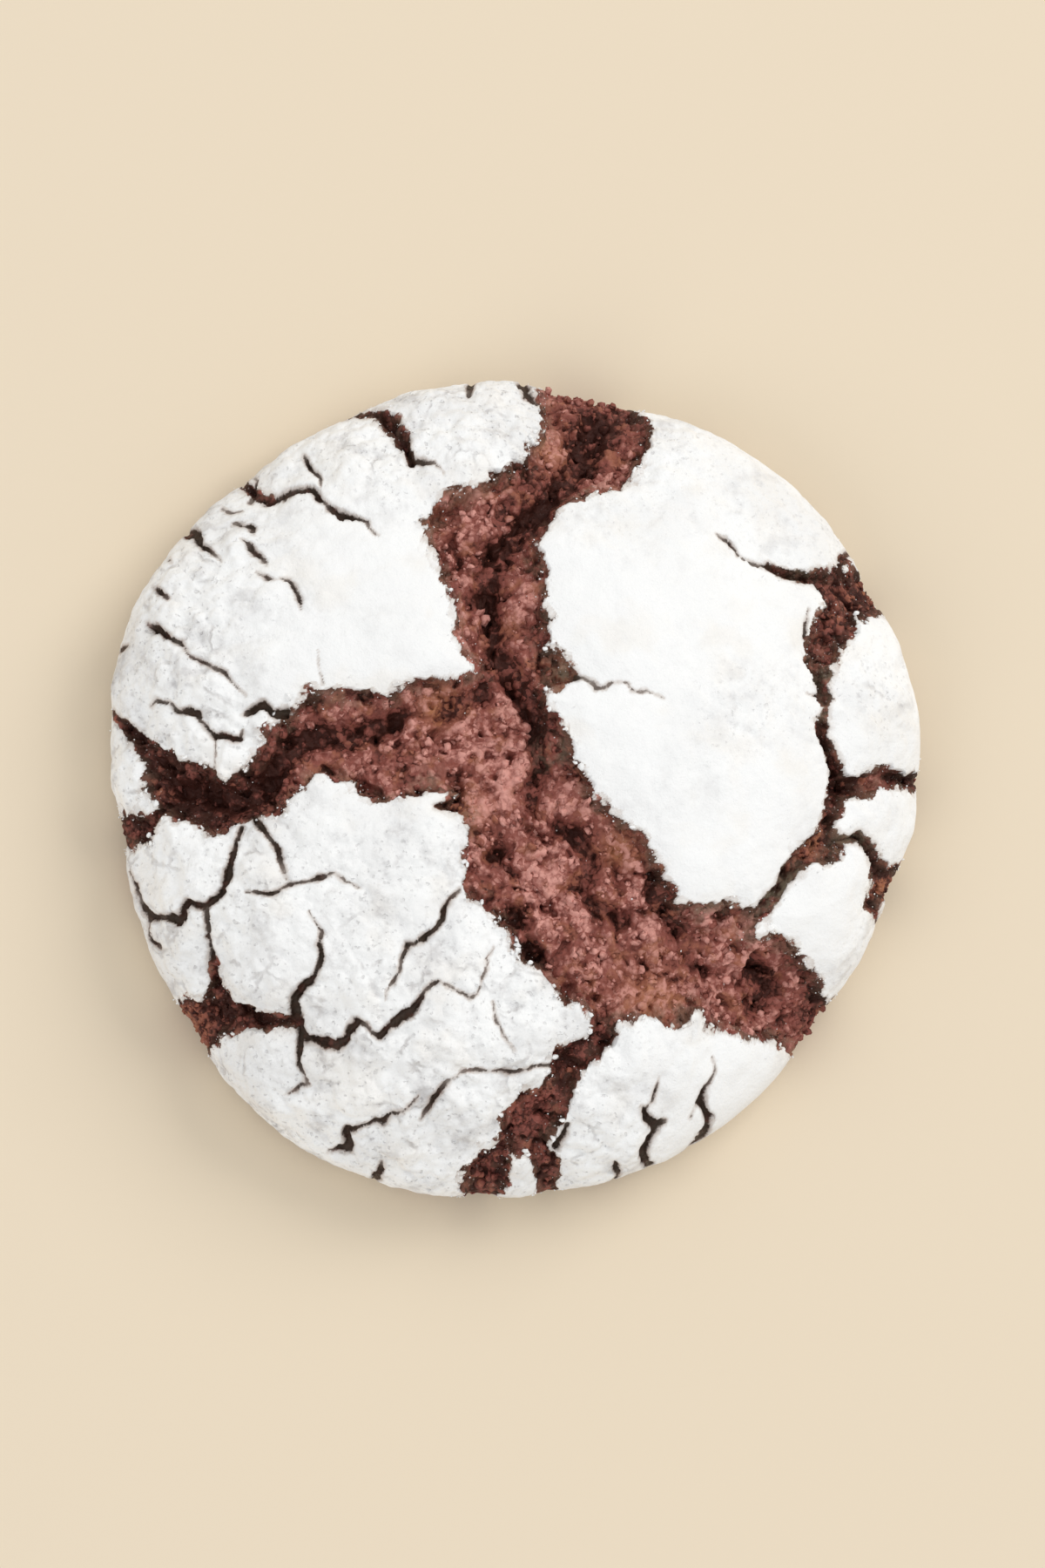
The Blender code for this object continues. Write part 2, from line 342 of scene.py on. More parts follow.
# %% List the wide cracks, as (x, y, radius) in millimetres from above
OUTLINE_MIDDLE = (0.35, -0.6)
VIEW_LEAN = (0.123, 0.109)
WIDE_CRACKS = {
    "north arm": (
        (6.4, 31.5, 4.1), (7.0, 27.9, 4.4), (2.7, 24.3, 2.7), (-2.4, 19.6, 4.4),
        (-0.9, 15.9, 4.1), (-0.8, 13.0, 3.9), (0.2, 10.4, 3.0), (0.2, 7.0, 2.6),
    ),
    "north lobe": ((1.5, 9.6, 2.1), (3.4, 9.1, 1.5), (5.2, 8.6, 0.35)),
    "trunk": (
        (-1.2, 4.6, 4.3), (-0.2, 2.2, 5.1), (0.3, 0.0, 5.1), (3.8, -5.2, 5.6), (5.8, -8.0, 6.2),
        (7.4, -11.2, 6.4), (8.6, -13.2, 5.9),
    ),
    "trunk shoulder": ((-0.5, -4.2, 3.2), (-0.8, -7.4, 3.2), (1.7, -10.6, 2.2), (2.6, -13.0, 2.1)),
    "trunk spur": ((-3.4, -1.8, 1.5), (-5.9, -1.9, 0.2)),
    "south-east arm": (
        (8.6, -13.2, 5.9), (13.0, -14.2, 4.9), (17.0, -14.4, 5.2), (20.0, -16.0, 4.3),
        (21.8, -17.0, 3.9), (23.4, -18.6, 3.0), (27.5, -21.6, 2.8),
    ),
    "west arm": (
        (-1.0, 4.0, 4.6), (-6.0, 3.8, 4.6), (-9.2, 2.8, 4.3), (-12.2, 3.5, 4.0),
        (-15.0, 3.7, 3.4), (-17.0, 2.7, 2.9), (-19.8, -0.5, 2.2), (-21.7, -1.4, 1.9),
        (-23.7, -2.0, 2.2), (-25.5, -1.1, 2.4), (-27.2, -0.5, 2.4), (-28.0, 0.9, 1.5),
        (-29.6, 2.6, 0.95), (-30.6, 3.7, 0.55), (-31.6, 4.7, 0.35), (-33.0, 6.4, 0.3),
    ),
    "west rim": ((-28.2, -2.6, 0.55), (-28.8, -3.4, 0.6), (-29.9, -4.1, 1.35), (-34.0, -4.9, 1.5)),
    "east crack": (
        (21.0, 17.8, 0.3), (22.2, 17.2, 0.42), (23.3, 17.0, 0.55), (24.4, 16.9, 0.6),
        (26.9, 16.0, 2.1), (28.6, 15.6, 1.9), (33.6, 17.6, 1.5),
    ),
    "east crack tip": ((26.6, 17.4, 1.1), (27.1, 18.8, 0.4)),
    "east crack heel": ((28.6, 14.9, 1.0), (30.2, 14.6, 0.7), (31.1, 13.8, 0.2)),
    "east descent": (
        (26.6, 14.0, 1.85), (25.8, 12.6, 1.7), (25.2, 11.3, 1.4), (25.1, 10.0, 1.05),
        (25.2, 8.5, 0.8), (25.5, 7.3, 0.75), (25.6, 6.5, 0.2), (25.2, 5.4, 0.75),
        (25.3, 4.2, 0.5), (25.8, 3.0, 0.45), (26.3, 1.8, 0.55), (26.4, 0.6, 0.75),
        (26.3, -0.8, 0.85), (26.2, -2.0, 0.8), (25.6, -3.0, 0.7), (25.3, -4.6, 1.3),
        (23.8, -5.3, 1.15), (22.6, -6.6, 0.75), (21.6, -8.0, 0.52), (20.4, -9.6, 0.5),
        (19.4, -10.9, 0.5),
    ),
    "east diamond corner": ((25.3, -4.6, 1.3), (25.6, -5.4, 0.8)),
    "east rim": (
        (26.8, 0.0, 0.95), (28.0, 0.05, 1.0), (29.0, 0.55, 0.95), (30.5, 1.05, 1.05),
        (32.4, 0.55, 0.75), (36.0, 0.4, 0.8),
    ),
    "east fork": (
        (26.5, -4.1, 0.3), (27.3, -4.1, 0.3), (28.2, -3.9, 0.5), (28.9, -4.8, 0.6),
        (29.5, -5.9, 0.75), (30.2, -7.3, 1.25),
    ),
    "east wedge": ((30.5, -7.8, 1.55), (35.4, -9.2, 1.7)),
    "east wedge heel": ((29.7, -8.4, 0.95), (29.4, -9.4, 0.7), (29.7, -10.8, 0.2)),
    "south crack": (
        (7.6, -18.6, 1.4), (7.2, -20.0, 1.15), (5.8, -21.2, 1.25), (4.7, -22.6, 1.45),
        (4.2, -24.0, 1.5), (3.4, -25.2, 1.7), (2.6, -26.2, 2.0), (1.4, -27.1, 1.85),
        (1.2, -28.0, 1.8), (-0.6, -29.4, 1.0), (-1.3, -30.4, 1.3), (-2.0, -32.0, 1.7),
        (-3.4, -37.0, 1.9),
    ),
    "south split": (
        (1.2, -28.0, 1.8), (2.3, -29.2, 1.2), (2.9, -30.4, 1.0), (3.1, -31.5, 0.9),
        (3.5, -36.5, 0.8),
    ),
    "south-west rim": (
        (-29.4, -22.8, 2.9), (-25.2, -19.8, 2.6), (-23.0, -18.9, 1.9), (-21.2, -19.0, 1.25),
        (-19.0, -19.3, 0.75), (-17.0, -19.4, 0.6),
    ),
    "west edge": ((-23.4, -17.2, 1.2), (-23.5, -15.8, 0.65), (-23.8, -14.6, 0.4)),
    "north-west rim": (
        (-13.8, 29.5, 0.3), (-10.5, 29.5, 0.45), (-9.7, 28.8, 0.95), (-8.9, 27.9, 0.7),
        (-8.3, 26.7, 0.45), (-7.9, 25.8, 0.3),
    ),
    "upper left rim": (
        (-25.0, 26.6, 0.6), (-20.9, 23.3, 0.5), (-20.2, 22.8, 0.45), (-19.4, 22.4, 0.45),
    ),
}
CRUST_TONGUES = {
    "south tongue": ((5.2, -17.9, 0.4), (5.4, -19.3, 0.8)),
    "south-east tooth": ((14.9, -18.2, 0.3), (14.8, -19.6, 0.8)),
    "east tooth": ((19.7, -11.8, 0.35), (21.2, -11.3, 0.5)),
}
print("wide cracks:", len(WIDE_CRACKS))

# %% [markdown]
# The solid has only the cracks that are wide enough to matter to its form. The crust also has
# forty-five fine ones, from hairlines to a millimetre wide, most of them on the left where the
# crust is dry and thin. They are listed the same way.

# %% List the fine cracks
FINE_CRACKS = {
    "south-west run": (
        (-16.9, -19.6, 0.5), (-16.2, -20.5, 0.4), (-15.0, -20.8, 0.5), (-13.6, -20.9, 0.5),
        (-13.0, -20.4, 0.45), (-12.5, -19.5, 0.4), (-12.1, -18.9, 0.4), (-11.5, -19.1, 0.25),
        (-11.0, -19.6, 0.15), (-10.3, -20.0, 0.3), (-9.6, -19.3, 0.35), (-8.8, -18.6, 0.45),
        (-8.0, -18.1, 0.45), (-7.4, -17.6, 0.35), (-6.9, -16.6, 0.25), (-6.3, -16.0, 0.3),
        (-5.7, -15.7, 0.3), (-5.0, -16.0, 0.2), (-3.9, -16.6, 0.2), (-3.2, -17.1, 0.2),
        (-2.6, -16.8, 0.15), (-2.2, -15.4, 0.15), (-1.3, -13.0, 0.08),
    ),
    "south-west rise": (
        (-17.2, -19.0, 0.5), (-17.1, -17.4, 0.4), (-16.4, -16.4, 0.45), (-15.6, -15.6, 0.4),
        (-15.2, -15.0, 0.35), (-15.0, -13.9, 0.3), (-15.0, -11.9, 0.2), (-16.0, -10.4, 0.08),
    ),
    "south-west drop": (
        (-16.7, -20.3, 0.4), (-16.8, -21.4, 0.3), (-16.7, -22.6, 0.25), (-16.2, -23.6, 0.25),
        (-16.1, -24.1, 0.2), (-16.8, -24.5, 0.22), (-17.8, -24.7, 0.08),
    ),
    "west edge run": (
        (-23.8, -14.6, 0.4), (-24.1, -13.6, 0.28), (-24.2, -12.2, 0.32), (-24.1, -11.2, 0.3),
        (-24.0, -10.2, 0.25),
    ),
    "west edge rise": (
        (-24.1, -10.2, 0.3), (-23.4, -9.7, 0.35), (-22.7, -8.9, 0.35), (-22.4, -7.8, 0.35),
        (-22.3, -6.7, 0.25), (-22.0, -5.8, 0.3), (-21.6, -3.9, 0.25),
    ),
    "west edge branch": (
        (-24.0, -10.1, 0.3), (-25.3, -9.9, 0.42), (-25.8, -10.4, 0.3), (-26.2, -11.4, 0.35),
        (-26.6, -11.1, 0.35), (-27.3, -10.9, 0.2), (-28.3, -11.0, 0.4), (-28.9, -10.3, 0.35),
        (-29.4, -9.5, 0.15), (-29.6, -8.3, 0.3), (-30.2, -7.4, 0.1),
    ),
    "west edge spur": (
        (-28.5, -11.1, 0.3), (-28.6, -12.1, 0.15), (-28.3, -12.9, 0.3), (-27.6, -13.4, 0.15),
    ),
    "left plate run": (
        (-20.9, -9.0, 0.12), (-19.9, -8.9, 0.2), (-18.8, -8.9, 0.28), (-17.9, -8.5, 0.2),
        (-17.2, -8.3, 0.25), (-16.2, -8.1, 0.15), (-15.3, -7.8, 0.25), (-14.0, -7.4, 0.15),
        (-13.2, -8.0, 0.12), (-12.0, -8.5, 0.06),
    ),
    "left plate rise": (
        (-20.4, -3.1, 0.25), (-19.8, -3.9, 0.25), (-19.0, -4.8, 0.2), (-18.4, -5.7, 0.28),
        (-18.0, -6.8, 0.18), (-17.7, -7.8, 0.08),
    ),
    "middle run": (
        (-4.0, -8.6, 0.2), (-4.6, -9.2, 0.25), (-5.1, -10.0, 0.35), (-5.3, -10.9, 0.3),
        (-6.2, -11.7, 0.25), (-7.2, -12.5, 0.35), (-8.0, -13.0, 0.3), (-8.7, -14.2, 0.15),
        (-8.9, -15.0, 0.25), (-9.3, -15.8, 0.25), (-9.7, -16.3, 0.1), (-9.9, -17.2, 0.06),
    ),
    "south run": (
        (3.4, -22.5, 0.2), (1.7, -22.5, 0.25), (0.4, -22.9, 0.25), (-1.5, -22.8, 0.2),
        (-2.6, -22.6, 0.2), (-3.7, -22.7, 0.2), (-4.6, -23.4, 0.08), (-5.3, -24.0, 0.2),
        (-6.1, -24.9, 0.3), (-6.5, -25.7, 0.2), (-7.1, -26.7, 0.1),
    ),
    "south run end": (
        (-7.2, -24.6, 0.08), (-7.8, -25.4, 0.22), (-8.4, -25.9, 0.2), (-9.3, -26.1, 0.3),
        (-9.7, -26.6, 0.3), (-10.1, -27.0, 0.3), (-10.8, -26.8, 0.3), (-11.6, -27.1, 0.3),
        (-12.6, -27.4, 0.4), (-13.1, -27.6, 0.4), (-12.8, -28.4, 0.35), (-12.6, -29.1, 0.35),
        (-13.6, -29.1, 0.25), (-14.4, -29.2, 0.08),
    ),
    "south rim tick": (
        (-10.1, -30.3, 0.2), (-10.3, -31.0, 0.4), (-10.8, -31.8, 0.45), (-11.3, -33.5, 0.35),
        (-11.7, -36.0, 0.08),
    ),
    "south plate a": (
        (11.7, -23.3, 0.1), (11.4, -24.2, 0.22), (11.1, -25.0, 0.22), (10.6, -25.5, 0.12),
    ),
    "south plate b": (
        (10.3, -25.4, 0.15), (10.8, -26.2, 0.35), (11.4, -26.9, 0.4), (11.5, -27.4, 0.35),
        (10.9, -28.2, 0.35), (10.6, -29.2, 0.45), (10.8, -29.9, 0.4), (11.4, -30.7, 0.2),
    ),
    "south plate c": ((11.5, -27.0, 0.35), (12.3, -26.6, 0.15)),
    "south plate d": (
        (16.1, -21.6, 0.05), (16.3, -22.8, 0.12), (15.9, -23.6, 0.2), (15.5, -24.3, 0.3),
        (15.2, -25.2, 0.4), (15.5, -25.9, 0.35), (15.8, -26.4, 0.5), (15.6, -27.3, 0.45),
        (15.1, -28.2, 0.5), (14.7, -28.9, 0.65), (14.2, -29.5, 0.6), (13.4, -31.5, 0.4),
        (12.8, -34.0, 0.08),
    ),
    "south plate e": ((14.8, -25.5, 0.06), (14.4, -26.4, 0.15)),
    "south rim spot": (
        (8.4, -30.2, 0.2), (8.5, -31.2, 0.35), (8.5, -33.0, 0.35), (8.2, -35.5, 0.08),
    ),
    "north-west tail": (
        (-7.9, 25.7, 0.3), (-6.9, 25.8, 0.2), (-6.2, 25.6, 0.15), (-5.4, 24.9, 0.06),
    ),
    "upper left run": (
        (-19.4, 22.4, 0.45), (-18.6, 22.6, 0.3), (-17.6, 22.9, 0.3), (-16.6, 23.1, 0.3),
        (-15.9, 23.0, 0.3), (-15.3, 22.4, 0.4), (-14.6, 21.8, 0.2), (-14.3, 21.5, 0.35),
        (-13.6, 21.1, 0.35), (-12.9, 21.1, 0.3), (-12.1, 20.9, 0.25), (-11.4, 20.7, 0.2),
        (-11.2, 19.9, 0.1), (-10.5, 19.6, 0.06),
    ),
    "upper left spur": (
        (-16.6, 25.8, 0.15), (-16.1, 25.3, 0.3), (-15.7, 24.6, 0.22), (-15.1, 24.0, 0.18),
        (-15.1, 23.2, 0.1),
    ),
    "upper left fork": ((-20.6, 24.2, 0.2), (-20.6, 23.4, 0.35), (-20.9, 22.2, 0.2)),
    "left rim spur": (
        (-30.0, 22.6, 0.08), (-27.8, 21.0, 0.45), (-25.2, 19.3, 0.55), (-24.5, 18.5, 0.3),
        (-23.7, 17.9, 0.2), (-22.9, 17.2, 0.06),
    ),
    "left mark": ((-22.9, 21.4, 0.1), (-22.2, 21.1, 0.2), (-21.3, 21.1, 0.1)),
    "left hook": (
        (-22.2, 20.2, 0.12), (-21.0, 20.1, 0.25), (-20.5, 20.0, 0.3), (-20.4, 19.3, 0.15),
    ),
    "left slope": (
        (-21.3, 18.9, 0.08), (-20.6, 18.3, 0.25), (-20.0, 17.7, 0.25), (-19.3, 17.0, 0.1),
    ),
    "left slope end": ((-20.1, 16.3, 0.08), (-19.3, 16.0, 0.2), (-18.6, 15.8, 0.1)),
    "left slope tail": (
        (-18.2, 15.9, 0.1), (-17.6, 15.8, 0.2), (-17.2, 15.2, 0.22), (-16.9, 14.6, 0.18),
        (-16.6, 14.0, 0.25), (-16.5, 13.5, 0.1),
    ),
    "west upper run": (
        (-28.6, 12.1, 0.15), (-28.0, 11.6, 0.35), (-27.2, 11.2, 0.35), (-26.6, 10.9, 0.3),
        (-26.0, 10.6, 0.3), (-25.6, 9.9, 0.12), (-25.1, 9.4, 0.2), (-24.4, 9.1, 0.22),
        (-23.6, 8.7, 0.2), (-22.6, 8.3, 0.22), (-21.8, 7.6, 0.12), (-20.9, 6.7, 0.06),
    ),
    "west lower run": (
        (-28.9, 5.8, 0.08), (-28.2, 6.3, 0.2), (-27.1, 6.1, 0.12), (-26.5, 5.4, 0.25),
        (-25.0, 5.2, 0.3), (-24.8, 4.8, 0.15), (-24.0, 3.9, 0.2), (-23.6, 3.5, 0.35),
        (-22.9, 3.5, 0.3), (-22.2, 3.2, 0.35), (-21.6, 3.2, 0.25), (-21.3, 3.9, 0.08),
    ),
    "west arm fork": (
        (-17.8, 5.5, 0.45), (-19.0, 5.4, 0.35), (-19.7, 6.1, 0.35), (-20.4, 5.8, 0.35),
        (-21.3, 5.2, 0.15),
    ),
    "west lobe line": ((-23.6, 3.2, 0.08), (-23.8, 0.8, 0.12)),
    "left rim spot": (
        (-36.0, 8.6, 0.08), (-33.5, 9.4, 0.35), (-31.4, 10.0, 0.4), (-30.4, 10.4, 0.15),
    ),
    "left rim dot": ((-28.0, 15.0, 0.2), (-27.5, 14.6, 0.3), (-27.1, 14.2, 0.15)),
    "left rim speck": ((-26.8, 17.4, 0.1), (-26.8, 16.9, 0.15)),
    "top rim dot": ((-3.3, 31.1, 0.2), (-3.2, 31.9, 0.3), (-3.2, 33.0, 0.25), (-3.4, 35.0, 0.08)),
    "north notch": ((2.2, 30.9, 0.3), (1.3, 31.5, 0.4), (0.8, 32.4, 0.35)),
    "east crack tail": (
        (16.4, 20.0, 0.06), (17.0, 19.6, 0.16), (17.6, 19.0, 0.2), (18.4, 18.3, 0.14),
        (19.4, 17.8, 0.16), (20.4, 17.7, 0.2), (21.0, 17.8, 0.26),
    ),
    "right plate run": (
        (5.3, 8.6, 0.25), (6.0, 8.5, 0.15), (6.5, 8.1, 0.12), (6.8, 7.5, 0.17), (7.4, 7.6, 0.14),
        (8.2, 8.0, 0.13), (9.1, 8.0, 0.13), (9.6, 7.4, 0.16), (10.8, 7.4, 0.12), (12.3, 6.7, 0.05),
    ),
    "south hook": ((4.6, -27.2, 0.2), (4.3, -28.2, 0.3), (3.8, -29.3, 0.4)),
    "east hook": ((24.1, 14.4, 0.08), (24.0, 13.2, 0.25), (23.9, 12.2, 0.25)),
    "east tick": ((23.9, 7.6, 0.08), (24.6, 7.5, 0.22), (25.0, 7.5, 0.3)),
    "middle hairline": (
        (-1.2, -17.4, 0.1), (-1.1, -18.8, 0.15), (-0.6, -20.0, 0.12), (0.3, -21.2, 0.05),
    ),
    "upper plate drop": ((-15.2, 10.3, 0.04), (-15.2, 9.0, 0.1), (-15.0, 7.8, 0.12)),
}
print("fine cracks:", len(FINE_CRACKS))

# %% [markdown]
# In the widest cracks the crumb has its own deep folds, which lie in shadow. They are chains too.

# %% List the folds in the crumb, and define the distance to a crack
CRUMB_FOLDS = {
    "north fold": (
        (7.0, 29.6, 0.7), (6.6, 28.0, 0.5), (5.0, 25.3, 0.6), (3.2, 23.2, 0.4), (0.9, 20.9, 0.5),
        (-0.8, 19.0, 0.6), (-1.5, 17.4, 0.6), (-1.5, 15.6, 0.5), (-1.2, 13.5, 0.35),
        (-0.9, 11.0, 0.35), (-0.2, 9.4, 0.45), (0.9, 8.0, 0.5), (1.7, 6.8, 0.6), (2.4, 5.2, 0.5),
        (2.3, 3.0, 0.4), (2.4, 0.5, 0.35), (2.0, -2.0, 0.2),
    ),
    "trunk fold": (
        (4.4, -3.2, 0.3), (5.3, -3.8, 0.6), (6.3, -4.8, 0.6), (6.7, -6.0, 0.5), (6.3, -7.4, 0.6),
        (6.1, -8.2, 0.3),
    ),
    "low trunk fold": ((6.6, -9.4, 0.15), (7.6, -9.9, 0.3), (8.8, -10.3, 0.3), (9.8, -10.9, 0.15)),
    "shoulder fold": ((12.0, -7.4, 0.4), (12.1, -8.6, 0.6), (12.3, -9.7, 0.3), (13.9, -11.6, 0.2)),
    "south-east fold": (
        (20.5, -14.0, 0.4), (21.0, -15.4, 0.6), (21.9, -16.8, 0.5), (20.3, -18.2, 0.3),
    ),
    "junction fold": ((-5.4, 5.8, 0.2), (-4.2, 6.3, 0.35), (-3.0, 6.7, 0.3), (-2.0, 7.6, 0.25)),
    "west fold": (
        (-8.6, 5.6, 0.2), (-9.6, 4.9, 0.35), (-11.5, 4.1, 0.3), (-13.0, 3.6, 0.4),
        (-15.2, 4.0, 0.6), (-17.2, 3.2, 0.6), (-18.5, 1.4, 0.6), (-20.0, -0.6, 0.5),
        (-22.0, -1.6, 0.5), (-25.2, -0.8, 0.6), (-27.2, -1.0, 0.4),
    ),
    "edge hole": ((0.5, -10.5, 0.2), (0.9, -11.1, 0.3)),
    "lower edge hole": ((1.7, -12.9, 0.2), (2.0, -13.6, 0.35)),
    "left pit": ((-1.2, -5.7, 0.2), (-0.6, -5.6, 0.3)),
}


def line_distance(x, y, start, end):
    """Distance to a straight line, and how far along it the nearest place is, from 0 to 1."""
    run_x, run_y = end[0] - start[0], end[1] - start[1]
    share = ((x - start[0]) * run_x + (y - start[1]) * run_y) / (run_x ** 2 + run_y ** 2)
    share = np.clip(share, 0.0, 1.0)
    return np.hypot(x - start[0] - share * run_x, y - start[1] - share * run_y), share


def crack_distance(x, y, cracks, narrowing=1.0):
    """Distance to the nearest chain's edge, negative inside it, and the radius of that chain.

    Along each link the radius runs evenly from one circle's to the next, and it is multiplied
    by `narrowing`.
    """
    nearest = np.full(np.shape(x), np.inf)
    opening = np.zeros(np.shape(x))
    for chain in cracks.values():
        for start, end in zip(chain[:-1], chain[1:]):
            gap, share = line_distance(x, y, start, end)
            radius = (start[2] + share * (end[2] - start[2])) * narrowing
            gap -= radius
            opening = np.where(gap < nearest, radius, opening)
            nearest = np.minimum(nearest, gap)
    return nearest, opening


print("folds in the crumb:", len(CRUMB_FOLDS))

# %% [markdown]
# The photograph shows only the top. Round the side, where a ball of dough is stretched most,
# the crust has short upright tears too. They start just below the rim, at places drawn from a
# seeded generator, and run down to the foot.

# %% Add the tears round the side
SIDE_TEARS = 26
TEAR_STARTS = (0.6, 2.5)
TEAR_ENDS = (3.5, 7.5)
TEAR_WIDTHS = (0.12, 0.55)
TEAR_TOP_WIDTH = 0.4
TEAR_DRIFT = 0.05
TEAR_WAVER = 0.012
TEAR_STOPS = (0.0, 0.35, 0.7, 1.0)

side_random = np.random.default_rng(7)
for number in range(SIDE_TEARS):
    turn_angle = 2.0 * np.pi * (number + side_random.uniform(0.1, 0.9)) / SIDE_TEARS
    start, end = side_random.uniform(*TEAR_STARTS), side_random.uniform(*TEAR_ENDS)
    width = side_random.uniform(*TEAR_WIDTHS)
    drift = side_random.uniform(-TEAR_DRIFT, TEAR_DRIFT)
    rim = float(rim_radius(np.array([turn_angle]))[0])
    links = []
    for share in TEAR_STOPS:
        out = rim + start + share * (end - start)
        at = turn_angle + drift * share + side_random.uniform(-TEAR_WAVER, TEAR_WAVER)
        links.append((
            out * math.cos(at) + OUTLINE_MIDDLE[0],
            out * math.sin(at) + OUTLINE_MIDDLE[1],
            width * (TEAR_TOP_WIDTH + share),
        ))
    FINE_CRACKS[f"side tear {number}"] = tuple(links)
print("tears round the side:", SIDE_TEARS)

# %% [markdown]
# ## The cracked surface
#
# The skin is a square grid bent into a disc, from the top of the dome down to the foot. Squares
# round the middle of the grid become circles, so the mesh has no crowded pole. Its points sit a
# seventh of a millimetre apart, because crumbling sugar has edges that fine.

# %% Lay out the skin's grid
SKIN_CELLS = 560


def disc_grid(cells):
    """Share of the radius and angle for each point of a square grid bent into a disc.

    With a and b from -1 to 1, the share is the larger of |a| and |b|, and the smaller one
    divided by the larger gives the angle within its quarter.
    """
    line = np.linspace(-1.0, 1.0, cells + 1)
    a, b = (side.ravel() for side in np.meshgrid(line, line))
    a_leads = np.abs(a) > np.abs(b)
    reach = np.where(a_leads, a, b)
    other = np.where(a_leads, b, a)
    ratio = np.divide(other, reach, out=np.zeros_like(reach), where=reach != 0.0)
    angle = np.where(a_leads, ratio * np.pi / 4.0, np.pi / 2.0 - ratio * np.pi / 4.0)
    return np.abs(reach), angle + np.where(reach < 0.0, np.pi, 0.0)


def grid_quads(cells):
    """The grid's squares, anticlockwise seen from above."""
    row, column = (side.ravel() for side in np.meshgrid(range(cells), range(cells), indexing="ij"))
    first = row * (cells + 1) + column
    return np.column_stack([first, first + 1, first + cells + 2, first + cells + 1])


def grid_ring(cells):
    """The points along the grid's edge, anticlockwise from its first corner."""
    last = cells * (cells + 1)
    run = np.arange(cells)
    return np.concatenate([
        run, cells + run * (cells + 1), last + cells - run, last - run * (cells + 1),
    ])


def lay_out(cells):
    """The smooth cookie's points, normals and plan places on a grid bent into a disc.

    The plan is the view that the cracks were read from. Below the rim it goes on outwards by
    the length of the side, so that a crack which reaches the rim runs on down it.
    """
    share, angle = disc_grid(cells)
    place = share * section_length[-1]
    points, normals = smooth_surface(place, angle)
    beyond = np.maximum(place - dome_length, 0.0)
    reach = np.hypot(points[:, 0], points[:, 1])
    reach = np.where(beyond > 0.0, rim_radius(angle) + beyond, reach)
    above_rim = np.maximum(points[:, 2] - WIDEST_HEIGHT, 0.0)
    x = reach * np.cos(angle) + OUTLINE_MIDDLE[0] + VIEW_LEAN[0] * above_rim
    y = reach * np.sin(angle) + OUTLINE_MIDDLE[1] + VIEW_LEAN[1] * above_rim
    return points, normals, x, y, beyond


skin_smooth, skin_normals, plan_x, plan_y, beyond_rim = lay_out(SKIN_CELLS)
print("points in the skin:", len(skin_smooth))

# %% [markdown]
# The crust is thick and smooth from the upper left of the middle to the right, and worn and dry
# to the left and below. So wear grows with the distance from a line between two places, and
# less of it falls on the right. A few greyer and whiter places, each a bell curve, and a slow
# random field break that up. The whiter places are partly painted light: they take grey off
# plates on the left that slope away from the key lamp.

# %% Say where the crust is worn
SMOOTH_LINE = ((-8.0, 14.0), (16.0, 4.0))
WEAR_START = 4.0
WEAR_REACH = 16.0
SPARED_FROM = 0.0
SPARED_WIDTH = 16.0
SPARED_SHARE = 0.65
WEAR_CHANGE = 0.3
WEAR_CHANGE_SIZE = 7.0
GREY_PLACES = (
    (18.5, 5.5, 4.0, 0.55), (-8.0, 24.5, 5.0, 0.6), (-30.0, 8.0, 5.0, 0.3),
    (13.0, 28.0, 4.0, 0.4), (-18.0, -27.0, 4.0, 0.3), (29.5, 8.0, 3.0, 0.5),
)
# Whiter places: partly painted light on plates that slope away from the key lamp.
WHITE_PLACES = (
    (-14.0, -4.5, 5.0, 0.6), (-16.0, -12.0, 4.0, 0.45), (-8.0, -8.0, 5.0, 0.45),
    (12.0, -21.5, 4.0, 0.3), (18.5, -23.5, 4.0, 0.6), (23.5, -11.5, 3.0, 0.6),
    (-4.0, -20.0, 4.0, 0.25), (-25.0, -5.5, 2.5, 0.3),
)


def highest_bell(x, y, places):
    """The highest of the bell curves h * exp(-(d / r)^2) round places (x, y, r, h)."""
    bells = [
        height * np.exp(-((x - a) ** 2 + (y - b) ** 2) / reach ** 2)
        for a, b, reach, height in places
    ]
    return np.max(bells, axis=0)


def wear_of(x, y, points):
    """0 on smooth crust, 1 on worn crust: an S-shaped rise with the distance to the line."""
    gap = line_distance(x, y, *SMOOTH_LINE)[0]
    wear = smooth_step((gap - WEAR_START) / WEAR_REACH)
    wear *= 1.0 - SPARED_SHARE * smooth_step((x - SPARED_FROM) / SPARED_WIDTH)
    wear += highest_bell(x, y, GREY_PLACES) - highest_bell(x, y, WHITE_PLACES)
    wear += WEAR_CHANGE * swelling(points, WEAR_CHANGE_SIZE, seed=21)
    return np.clip(wear, 0.0, 1.0)


wear = wear_of(plan_x, plan_y, skin_smooth)
print("mean wear of the skin:", round(float(np.mean(wear)), 2))

# %% [markdown]
# Two distances to the wide cracks describe each point. The even one wanders a little and shapes
# the dough, which is soft. The ragged one shapes the sugar, which is dry and breaks in straight
# facets. To get those, a point is pulled towards the nearest of many scattered centres before
# its distance is read, so a whole facet falls on one side of the edge. Only points near an edge
# need it, and beside a narrow crack all this is weaker, or the crack would close.

# %% Measure the distances to the wide cracks
CRACK_WANDER = 0.4
CRACK_WANDER_SIZE = 2.4
EDGE_ZONE = 2.5
FACET_SIZES = (1.25, 0.55)
FACET_PULL = 0.5
EDGE_TEETH = 0.1
EDGE_TEETH_SIZE = 0.8
EDGE_BULGE = 0.25
WORN_BULGE = 0.45
CRUST_OVERHANG = 0.1
EDGE_BULGE_SIZE = 1.5
MEAN_LUMP = 0.7
FREE_OPENING = 1.1
LEAST_FREEDOM = 0.3


def freedom(opening):
    """How ragged an edge may be: 1 beside wide cracks, and less the narrower the crack is."""
    return np.clip(opening / FREE_OPENING, LEAST_FREEDOM, 1.0)


